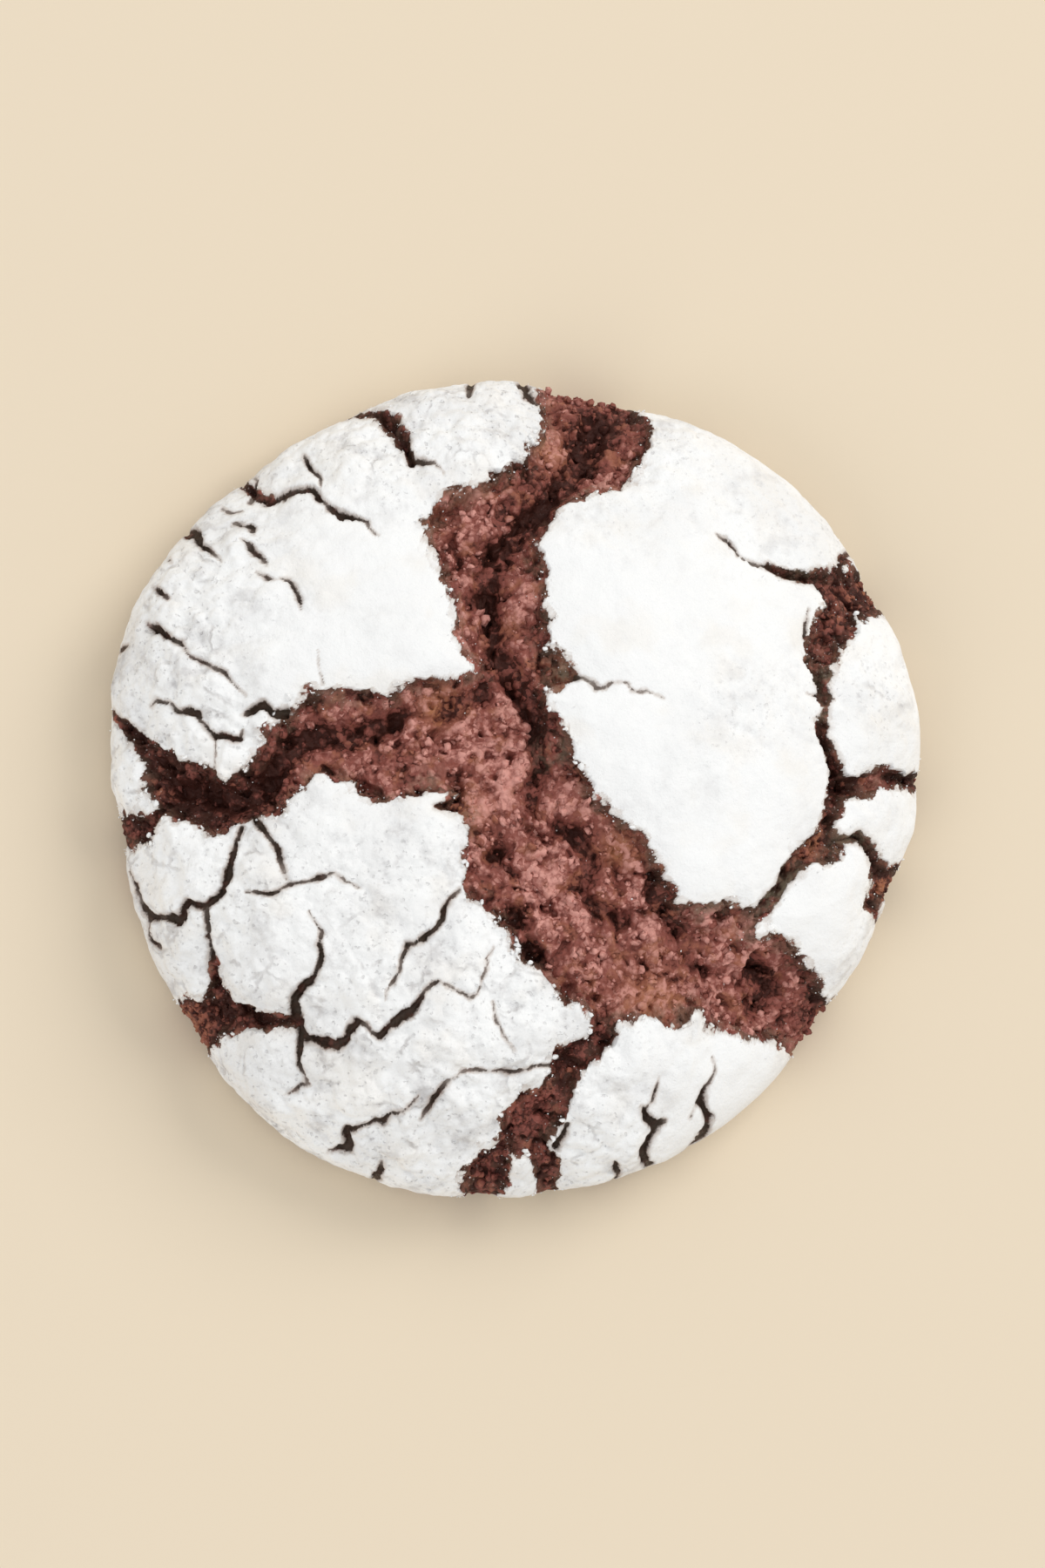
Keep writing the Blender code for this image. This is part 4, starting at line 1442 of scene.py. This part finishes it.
def new_group(name, **inputs):
    """An empty node group for a finish, its named inputs, and its wiring.

    An input that starts with three numbers is a colour.
    """
    tree = bpy.data.node_groups.new(name, "ShaderNodeTree")
    for label, value in inputs.items():
        is_color = isinstance(value, tuple)
        kind = COLOR if is_color else FLOAT
        socket = tree.interface.new_socket(name=label, in_out="INPUT", socket_type=kind)
        socket.default_value = (*value, 1.0) if is_color else value
    for label, kind in FINISH_OUTPUTS.items():
        tree.interface.new_socket(name=label, in_out="OUTPUT", socket_type=kind)
    return tree, tree.nodes.new("NodeGroupInput").outputs, Wiring(tree)


def use_finish(wires, shader, parts, bump_strength, gloss):
    """Feeds a finish's colour, roughness and height in millimetres to the shader."""
    wires.feed(shader.inputs["Base Color"], parts["Color"])
    wires.feed(shader.inputs["Roughness"], parts["Roughness"])
    shader.inputs["Specular IOR Level"].default_value = gloss
    bump = wires.node("ShaderNodeBump")
    bump.inputs["Distance"].default_value = MM
    bump.inputs["Strength"].default_value = bump_strength
    wires.feed(bump.inputs["Height"], parts["Height"])
    wires.feed(shader.inputs["Normal"], bump.outputs["Normal"])


def give_material(pieces, name, group, bump_strength, gloss, stored=(), **values):
    """Gives the pieces a material of one finish, with stored numbers or plain values as inputs."""
    material, shader = new_material(name)
    wires = Wiring(material.node_tree)
    for label in stored:
        values[label] = wires.stored(label.lower())
    use_finish(wires, shader, wires.group(group, **values), bump_strength, gloss)
    for piece in pieces:
        piece.data.materials.append(material)


print("parts of a finish:", ", ".join(FINISH_OUTPUTS))

# %% [markdown]
# Powdered sugar is the finest of grains. Where it lies thick it is plain white. Where the
# dough's fat has soaked it, it goes grey and cream, in patches of a few millimetres. The most
# worn crust also has small grey pits and the start of a net of hairlines, the edges of Voronoi
# cells that a noise has bent a little. `Wear` says how far that has gone.

# %% Make the sugar's node group
HAIRLINE_WIDTH = 0.08

sugar_group, sugar_in, wires = new_group(
    "powdered_sugar",
    White=(0.95, 0.948, 0.943),
    Soaked=(0.47, 0.45, 0.45),
    Cream=(0.90, 0.84, 0.76),
    Gap=(0.27, 0.225, 0.21),
    Wear=0.3,
)
place = wires.place()
worn = sugar_in["Wear"]
haze = wires.patches(place, size=6.5, low=0.42, high=0.62)
blotch = wires.patches(place, size=2.6, low=0.51, high=0.72, detail=5.0, roughness=0.62)
speckle = wires.patches(place, size=0.6, low=0.53, high=0.74, detail=3.0, roughness=0.65)
pitted = wires.times(wires.patches(place, size=0.42, low=0.62, high=0.74), worn)
bent = wires.bent(place, size=0.8, amount=0.9)
net = wires.cells(bent, size=3.0, feature="DISTANCE_TO_EDGE")["Distance"]
net_gate = wires.patches(place, size=2.4, low=0.48, high=0.66)
very_worn = wires.rise(worn, low=0.45, high=0.95)
hairline = wires.times(wires.rise(net, low=HAIRLINE_WIDTH, high=0.0), net_gate, very_worn)
mottle = wires.weighted((blotch, 0.52), (speckle, 0.28), (haze, 0.18))
mottle = wires.times(mottle, wires.math("MULTIPLY_ADD", worn, 0.85, 0.14))
soaked = wires.total(mottle, wires.times(pitted, 0.3))
cream = wires.times(wires.patches(place, size=4.5, low=0.52, high=0.70, detail=3.0), 0.3)
color = wires.layers(
    sugar_in["White"],
    (cream, sugar_in["Cream"]),
    (soaked, sugar_in["Soaked"]),
    (wires.times(hairline, 0.34), sugar_in["Gap"]),
)
powder = wires.noise(place, size=0.2, detail=3.0, roughness=0.7)
caked = wires.noise(place, size=0.9, detail=4.0, roughness=0.6)
raised = wires.weighted((powder, 0.07), (caked, 0.16))
sunk = wires.weighted((hairline, 0.1), (pitted, 0.1))
wires.put_out(
    Color=color,
    Roughness=wires.rise(soaked, low=0.0, high=1.0, start=0.95, end=0.75),
    Height=wires.math("SUBTRACT", raised, sunk),
)
print("sugar group:", len(sugar_group.nodes), "nodes")

# %% [markdown]
# Chocolate crumb is open and moist. Its colour runs from nearly black in the pores and where
# `Shade` is high, which is painted shade, through a reddish brown, to a dusty rose on the high
# clots, which is a painted highlight over some dry flour and sugar. Each grain of it also has a
# tone of its own, and it is more orange in patches, and where `Warm` says so.

# %% Make the crumb's node group
crumb_group, crumb_in, wires = new_group(
    "chocolate_crumb",
    Pore=(0.052, 0.014, 0.009),
    Crumb=(0.275, 0.084, 0.064),
    Dusty=(0.72, 0.345, 0.29),
    Orange=(0.44, 0.180, 0.085),
    Crest=0.5,
    Shade=0.0,
    Warm=0.0,
)
place = wires.place()
grain_cells = wires.cells(wires.bent(place, size=0.5, amount=0.3), size=0.5)
round_grain = wires.rise(grain_cells["Distance"], low=0.8, high=0.1)
own_tone = wires.node("ShaderNodeSeparateColor")
wires.feed(own_tone.inputs[0], grain_cells["Color"])
fine_grain = wires.noise(place, size=0.22, detail=3.0, roughness=0.65)
slow_change = wires.noise(place, size=2.2, detail=3.0, roughness=0.6)
# Painted light and shade: the tone rises with `Crest` on the clots and falls with `Shade`.
tone = wires.weighted(
    (crumb_in["Crest"], 0.48),
    (own_tone.outputs[0], 0.30),
    (round_grain, 0.12),
    (fine_grain, 0.34),
    (slow_change, 0.24),
)
tone = wires.math("SUBTRACT", tone, wires.times(crumb_in["Shade"], 0.42))
orange_patch = wires.patches(place, size=1.6, low=0.5, high=0.68)
orange = wires.weighted((orange_patch, 0.4), (crumb_in["Warm"], 0.65))
orange = wires.math("MINIMUM", orange, 1.0)
# Painted highlight: the lightest tone turns dusty rose, less of it in painted shade.
lit = wires.times(
    wires.rise(tone, low=0.63, high=1.0),
    wires.rise(crumb_in["Shade"], low=1.0, high=0.1, start=0.15, end=1.0),
    wires.math("MULTIPLY_ADD", orange, -0.5, 1.0),
)
color = wires.layers(
    crumb_in["Pore"],
    (wires.rise(tone, low=0.28, high=0.60), crumb_in["Crumb"]),
    (wires.times(orange, wires.rise(tone, low=0.36, high=0.66)), crumb_in["Orange"]),
    (lit, crumb_in["Dusty"]),
)
wires.put_out(
    Color=color,
    Roughness=wires.rise(fine_grain, low=0.3, high=0.7, start=0.38, end=0.75),
    Height=wires.weighted((round_grain, 0.08), (fine_grain, 0.16)),
)
print("crumb group:", len(crumb_group.nodes), "nodes")

# %% [markdown]
# All the skin's pieces share one material, because sugar and crumb meet on each of them. The
# stored distances say where one ends and the other begins, and a fine noise added to them
# breaks the border into teeth smaller than the mesh can hold. Near the border the sugar is
# thin, so it takes on a tan, as it does on damp dough. A fine crack is dark where it gapes,
# partly the dough's own colour and partly painted shade, only grey where it is a hairline, and
# greyed a little on both sides.

# %% Make the skin's material: the sugar and the fine cracks
EDGE_TAN = (0.50, 0.40, 0.33)
BESIDE_CRACK = (0.62, 0.58, 0.56)
TEETH = 0.28

skin_material, shader = new_material("sugar_and_crumb")
wires = Wiring(skin_material.node_tree)
place = wires.place()
ragged = wires.noise(place, size=0.3, detail=3.0, roughness=0.7)
teeth = wires.math("MULTIPLY_ADD", ragged, TEETH, -TEETH / 2.0)
wide_edge = wires.total(wires.stored("to_crumb"), teeth)
fine_edge = wires.total(wires.stored("to_fine"), wires.times(teeth, 0.8))
gape = wires.rise(wires.stored("fine_opening"), low=0.06, high=0.26)
over_wide = wires.rise(wide_edge, low=-0.04, high=0.05)
over_fine = wires.rise(fine_edge, low=-0.06, high=0.04)
on_crust = wires.math("MINIMUM", over_wide, over_fine)

sugar = wires.group(sugar_group, Wear=wires.stored("wear"))
beside = wires.times(wires.rise(fine_edge, low=0.42, high=0.0), gape, 0.5)
near_edge = wires.math("MINIMUM", wide_edge, wires.times(fine_edge, 1.7))
thin = wires.times(wires.rise(near_edge, low=0.4, high=0.0), 0.5)
sugar_color = wires.layers(sugar["Color"], (beside, BESIDE_CRACK), (thin, EDGE_TAN))
print("sugar half of the skin's material ready")

# %% [markdown]
# In the last millimetre and a half before the crust, the crumb is smoother and olive brown to
# tan, where the dough dried in the oven before it tore, and some sugar has fallen onto it. Right
# under the broken edge of the crust it is dark: painted shade of the overhanging crust, over a
# thin grey-brown glaze of sugar. Here and there in the narrow cracks it is khaki. Near the foot
# the skin turns into the baked dough of the underside.

# %% Add the crumb to the skin's material
DRIED = (0.27, 0.155, 0.105)
DUST = (0.62, 0.52, 0.48)
KHAKI = (0.30, 0.245, 0.17)
UNDER_EDGE_SHADE = (0.070, 0.043, 0.028)
FINE_DARK = (0.055, 0.041, 0.030)
HAIRLINE_GREY = (0.30, 0.25, 0.22)

wide_gape = wires.rise(wires.stored("fine_opening"), low=0.35, high=0.75)
# Painted shade inside the fine cracks, less of it where they gape wide.
in_fine = wires.times(
    wires.rise(fine_edge, low=0.1, high=-0.1),
    wires.math("MULTIPLY_ADD", wide_gape, -0.5, 1.0),
)
shade = wires.math("MINIMUM", wires.total(wires.stored("shade"), in_fine), 1.0)
crumb_finish = wires.group(
    crumb_group, Crest=wires.stored("crest"), Shade=shade, Warm=wires.stored("warm"),
)
inward = wires.times(wide_edge, -1.0)
dried = wires.times(
    wires.rise(inward, low=1.5, high=0.3),
    wires.patches(place, size=1.3, low=0.42, high=0.58),
    wires.rise(shade, low=1.0, high=0.2, start=0.1, end=0.55),
)
# Painted shade under the crust's broken edge, over a thin glaze of sugar.
shade_under_edge = wires.times(
    wires.rise(inward, low=0.6, high=0.1),
    wires.patches(place, size=1.7, low=0.38, high=0.56),
    0.65,
)
khaki = wires.times(
    wires.stored("dusty"),
    wires.patches(place, size=0.9, low=0.36, high=0.6, detail=3.0),
    0.75,
)
fallen = wires.times(
    wires.patches(place, size=0.24, low=0.655, high=0.71, roughness=0.6),
    wires.rise(inward, low=2.2, high=0.1),
    over_fine,
    0.6,
)
only_fine = wires.math("MAXIMUM", wires.math("SUBTRACT", over_wide, over_fine), 0.0)
flecked = wires.noise(place, size=0.7, detail=3.0)
# Dark inside the fine cracks: partly the dough's own colour and partly painted shade.
darkened = wires.times(
    only_fine,
    wires.math("MULTIPLY_ADD", wide_gape, -0.45, 0.75),
    wires.rise(flecked, low=0.35, high=0.6, start=0.55, end=1.0),
)
closed = wires.times(only_fine, wires.math("SUBTRACT", 1.0, gape))
crumb_color = wires.layers(
    crumb_finish["Color"],
    (dried, DRIED),
    (shade_under_edge, UNDER_EDGE_SHADE),
    (khaki, KHAKI),
    (fallen, DUST),
    (darkened, FINE_DARK),
    (closed, HAIRLINE_GREY),
)
print("crumb half of the skin's material ready")

# %% [markdown]
# Underneath, the dough has baked flat. It is a dry, dark brown with paler patches, and some
# sugar still clings to it. It is a node group, because the skin fades into it near the foot and
# the core shows nothing else.

# %% Make the baked dough's node group, and finish the skin and the core
SUGAR_THICKNESS = 0.08
SKIN_BUMP = 0.8
SKIN_GLOSS = 0.2
CORE_GLOSS = 0.3

baked_group, baked_in, baked_wires = new_group(
    "baked_dough",
    Dark=(0.045, 0.018, 0.012),
    Light=(0.15, 0.070, 0.044),
    Clinging=(0.52, 0.46, 0.42),
)
place = baked_wires.place()
patchy = baked_wires.patches(place, size=2.6, low=0.4, high=0.66, detail=5.0, roughness=0.65)
clinging = baked_wires.patches(place, size=4.5, low=0.55, high=0.7, detail=6.0, roughness=0.7)
color = baked_wires.layers(
    baked_in["Dark"],
    (patchy, baked_in["Light"]),
    (baked_wires.times(clinging, 0.5), baked_in["Clinging"]),
)
fine_grain = baked_wires.noise(place, size=0.3, detail=3.0, roughness=0.65)
baked_wires.put_out(
    Color=color,
    Roughness=baked_wires.rise(patchy, low=0.0, high=1.0, start=0.6, end=0.8),
    Height=baked_wires.times(fine_grain, 0.12),
)

under = wires.group(baked_group)["Color"]
crumb_color = wires.layers(crumb_color, (wires.stored("underside"), under))
sugar_height = wires.total(sugar["Height"], SUGAR_THICKNESS)
skin_finish = {
    "Color": wires.blend(on_crust, crumb_color, sugar_color),
    "Roughness": wires.blend(on_crust, crumb_finish["Roughness"], sugar["Roughness"], NUMBER_MIX),
    "Height": wires.blend(on_crust, crumb_finish["Height"], sugar_height, NUMBER_MIX),
}
use_finish(wires, shader, skin_finish, SKIN_BUMP, SKIN_GLOSS)
for piece in skin_pieces:
    piece.data.materials.append(skin_material)
give_material([core], "baked_core", baked_group, SKIN_BUMP, CORE_GLOSS)
print("skin material:", len(skin_material.node_tree.nodes), "nodes")

# %% [markdown]
# ## Crumbs, sugar grains and chips
#
# Loose crumbs lie in the cracks, and grains of sugar round them. They are too many for single
# objects, so each kind is one mesh: a small ball of a few dozen faces, repeated with its own
# size, stretch and turn. All of it is array arithmetic: the ball's points are multiplied by
# every copy's matrix at once.

# %% Define the small balls and where they go
def ball_template(rings, sides):
    """Points and triangles of a ball: `rings` circles of `sides` points between two poles."""
    tilt = np.pi * np.arange(1, rings + 1) / (rings + 1)
    turn_by = 2.0 * np.pi * np.arange(sides) / sides
    tilt, turn_by = (side.ravel() for side in np.meshgrid(tilt, turn_by, indexing="ij"))
    circle = np.column_stack([
        np.sin(tilt) * np.cos(turn_by), np.sin(tilt) * np.sin(turn_by), np.cos(tilt),
    ])
    points = np.concatenate([circle, [[0.0, 0.0, 1.0], [0.0, 0.0, -1.0]]])
    here = np.arange(rings * sides).reshape(rings, sides)
    after = np.roll(here, -1, axis=1)
    top, bottom = rings * sides, rings * sides + 1
    caps = [np.column_stack([here[0], after[0], np.full(sides, top)])]
    caps.append(np.column_stack([after[-1], here[-1], np.full(sides, bottom)]))
    bands = [np.column_stack([here[:-1].ravel(), here[1:].ravel(), after[1:].ravel()])]
    bands.append(np.column_stack([here[:-1].ravel(), after[1:].ravel(), after[:-1].ravel()]))
    return points, np.concatenate(caps + bands)


def random_turns(count, random):
    """Rotation matrices from random quaternions of length one."""
    quaternion = random.normal(size=(4, count))
    w, x, y, z = quaternion / np.linalg.norm(quaternion, axis=0)
    return np.array([
        [1 - 2 * (y * y + z * z), 2 * (x * y - z * w), 2 * (x * z + y * w)],
        [2 * (x * y + z * w), 1 - 2 * (x * x + z * z), 2 * (y * z - x * w)],
        [2 * (x * z - y * w), 2 * (y * z + x * w), 1 - 2 * (x * x + y * y)],
    ]).transpose(2, 0, 1)


def scattered_balls(name, centres, stretches, template, ragged, random):
    """One mesh of many small balls.

    Each point of a ball is turn * (template * stretch * (1 + ragged * chance)) + centre.
    """
    ball, triangles = template
    count = len(centres)
    radii = 1.0 + ragged * random.uniform(-1.0, 1.0, size=(count, len(ball), 1))
    local = ball[None] * radii * stretches[:, None, :]
    turned = np.einsum("nij,nkj->nki", random_turns(count, random), local)
    points = (turned + centres[:, None, :]).reshape(-1, 3)
    faces = (triangles[None] + (np.arange(count) * len(ball))[:, None, None]).reshape(-1, 3)
    return make_piece(name, points, faces.tolist())


def draw_places(points, weights, count, random, aside=0.12):
    """Draws `count` of the points, each as likely as its weight, and moves them a little."""
    chosen = random.choice(len(points), size=count, p=weights / weights.sum())
    return chosen, points[chosen] + random.uniform(-aside, aside, size=(count, 3))


def draw_sizes(small, large, power, stretch, count, random):
    """Sizes small + (large - small) * chance ^ power, and the same stretched along each axis."""
    sizes = small + (large - small) * random.uniform(size=count) ** power
    return sizes, sizes[:, None] * random.uniform(*stretch, size=(count, 3))


print("ball of 3 rings and 6 sides:", len(ball_template(3, 6)[1]), "triangles")

# %% [markdown]
# Crumbs sit in the wide cracks, half sunk into the floor. Small ones are many and large ones
# are few, so a size is drawn as a power of a random number. They keep out of the deep folds.

# %% Scatter the crumbs
CRUMBS = 1900
CRUMB_SIZES = (0.09, 0.42)
CRUMB_POWER = 2.4
CRUMB_STRETCH = (0.6, 1.3)
CRUMB_LIFT = (-0.5, 0.2)
CRUMB_RAG = 0.4
CRUMB_CREST = (0.25, 1.0)
CRUMB_EDGE = 0.3
CRUMB_SLOPE = 0.8
CRUMB_LOWEST = 2.0
LESS_IN_FOLDS = 0.8

random = np.random.default_rng(101)
inside = np.maximum(-to_wide, 0.0)
weights = smooth_step((inside - CRUMB_EDGE) / CRUMB_SLOPE) * (1.0 - LESS_IN_FOLDS * fold)
weights *= smooth_step(skin_smooth[:, 2] - CRUMB_LOWEST)
chosen, centres = draw_places(skin_points, weights, CRUMBS, random)
sizes, stretches = draw_sizes(*CRUMB_SIZES, CRUMB_POWER, CRUMB_STRETCH, CRUMBS, random)
centres += skin_normals[chosen] * (sizes * random.uniform(*CRUMB_LIFT, CRUMBS))[:, None]
ball = ball_template(4, 7)
crumbs = scattered_balls("crumbs", centres, stretches, ball, CRUMB_RAG, random)
crumb_numbers = {
    "crest": random.uniform(*CRUMB_CREST, CRUMBS),
    "shade": shade_at_point[chosen],
    "warm": warm[chosen],
}
for label, values in crumb_numbers.items():
    store(crumbs, label, np.repeat(values, len(ball[0])))
give_material(
    [crumbs], "loose_crumb", crumb_group, SKIN_BUMP, SKIN_GLOSS, stored=("Crest", "Shade", "Warm"),
)

# %% [markdown]
# Sugar grains gather at the border of the crust, where the caked sugar crumbles, and thin out
# over the crumb next to it.

# %% Scatter the sugar grains
GRAINS = 2600
GRAIN_SIZES = (0.03, 0.09)
GRAIN_POWER = 2.0
GRAIN_STRETCH = (0.7, 1.25)
GRAIN_RAG = 0.25
GRAIN_SPREAD = 0.25
GRAIN_SHIFT = 0.1
GRAIN_LOWEST = 1.5
GRAINS_ON_CRUMB = 0.008
GRAINS_FROM = 0.5
CLEAR_OF_FINE = 0.1
OPENING_RISE = 1.5

random = np.random.default_rng(201)
weights = np.exp(-np.abs(to_crumb - GRAIN_SHIFT) / GRAIN_SPREAD)
weights += GRAINS_ON_CRUMB * (to_crumb < -GRAINS_FROM)
weights *= smooth_step(skin_smooth[:, 2] - GRAIN_LOWEST)
weights *= to_fine > CLEAR_OF_FINE
weights *= smooth_step((opening + to_crumb) / OPENING_RISE)
chosen, centres = draw_places(skin_points, weights, GRAINS, random)
sizes, stretches = draw_sizes(*GRAIN_SIZES, GRAIN_POWER, GRAIN_STRETCH, GRAINS, random)
ball = ball_template(2, 5)
grains = scattered_balls("sugar_grains", centres, stretches, ball, GRAIN_RAG, random)

# %% [markdown]
# The border itself is chipped: flat, ragged bits of crust hang on it, larger than the grains and
# sunk half way into it. They are the same balls, flattened, and most lie where it is worn.

# %% Scatter the chips of crust
CHIPS = 140
CHIP_SIZES = (0.12, 0.3)
CHIP_STRETCH = (0.6, 1.2)
CHIP_RAG = 0.35
CHIP_FLATNESS = 0.5
CHIP_SPREAD = 0.1
CHIP_SHIFT = 0.05
CHIP_LOWEST = 6.5
CHIP_OPENING = 0.5
CHIPS_ON_SMOOTH = 0.25
LOOSE_SUGAR = {"bump_strength": 0.6, "gloss": 0.3, "Wear": 0.15}

weights = np.exp(-np.abs(to_crumb - CHIP_SHIFT) / CHIP_SPREAD)
weights *= smooth_step(skin_smooth[:, 2] - CHIP_LOWEST)
weights *= CHIPS_ON_SMOOTH + wear
weights *= smooth_step((opening - CHIP_OPENING) / OPENING_RISE)
chosen, centres = draw_places(skin_points, weights, CHIPS, random)
sizes, stretches = draw_sizes(*CHIP_SIZES, 1.0, CHIP_STRETCH, CHIPS, random)
stretches[:, 2] *= CHIP_FLATNESS
ball = ball_template(4, 8)
chips = scattered_balls("crust_chips", centres, stretches, ball, CHIP_RAG, random)
give_material([grains, chips], "loose_sugar", sugar_group, **LOOSE_SUGAR)

# %% [markdown]
# ## Handing over
#
# Every piece rides on the cookie's one body. The core and the skin's pieces together stand for
# the solid, which isn't drawn. The two boxes, of the solid and of the dressed cookie, are printed
# in millimetres.

# %% Tie the pieces to the frame and finish
for piece in (core, *skin_pieces):
    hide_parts("cookie")
for piece in (core, *skin_pieces, crumbs, grains, chips):
    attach(piece, "root")

sizes = {"cad": cad_box, "visual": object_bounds()}
sizes = {name: [[float(side) for side in corner] for corner in box] for name, box in sizes.items()}
for name, box in sizes.items():
    print(name, "box in mm:", np.round(np.array(box) / MM, 2).tolist())
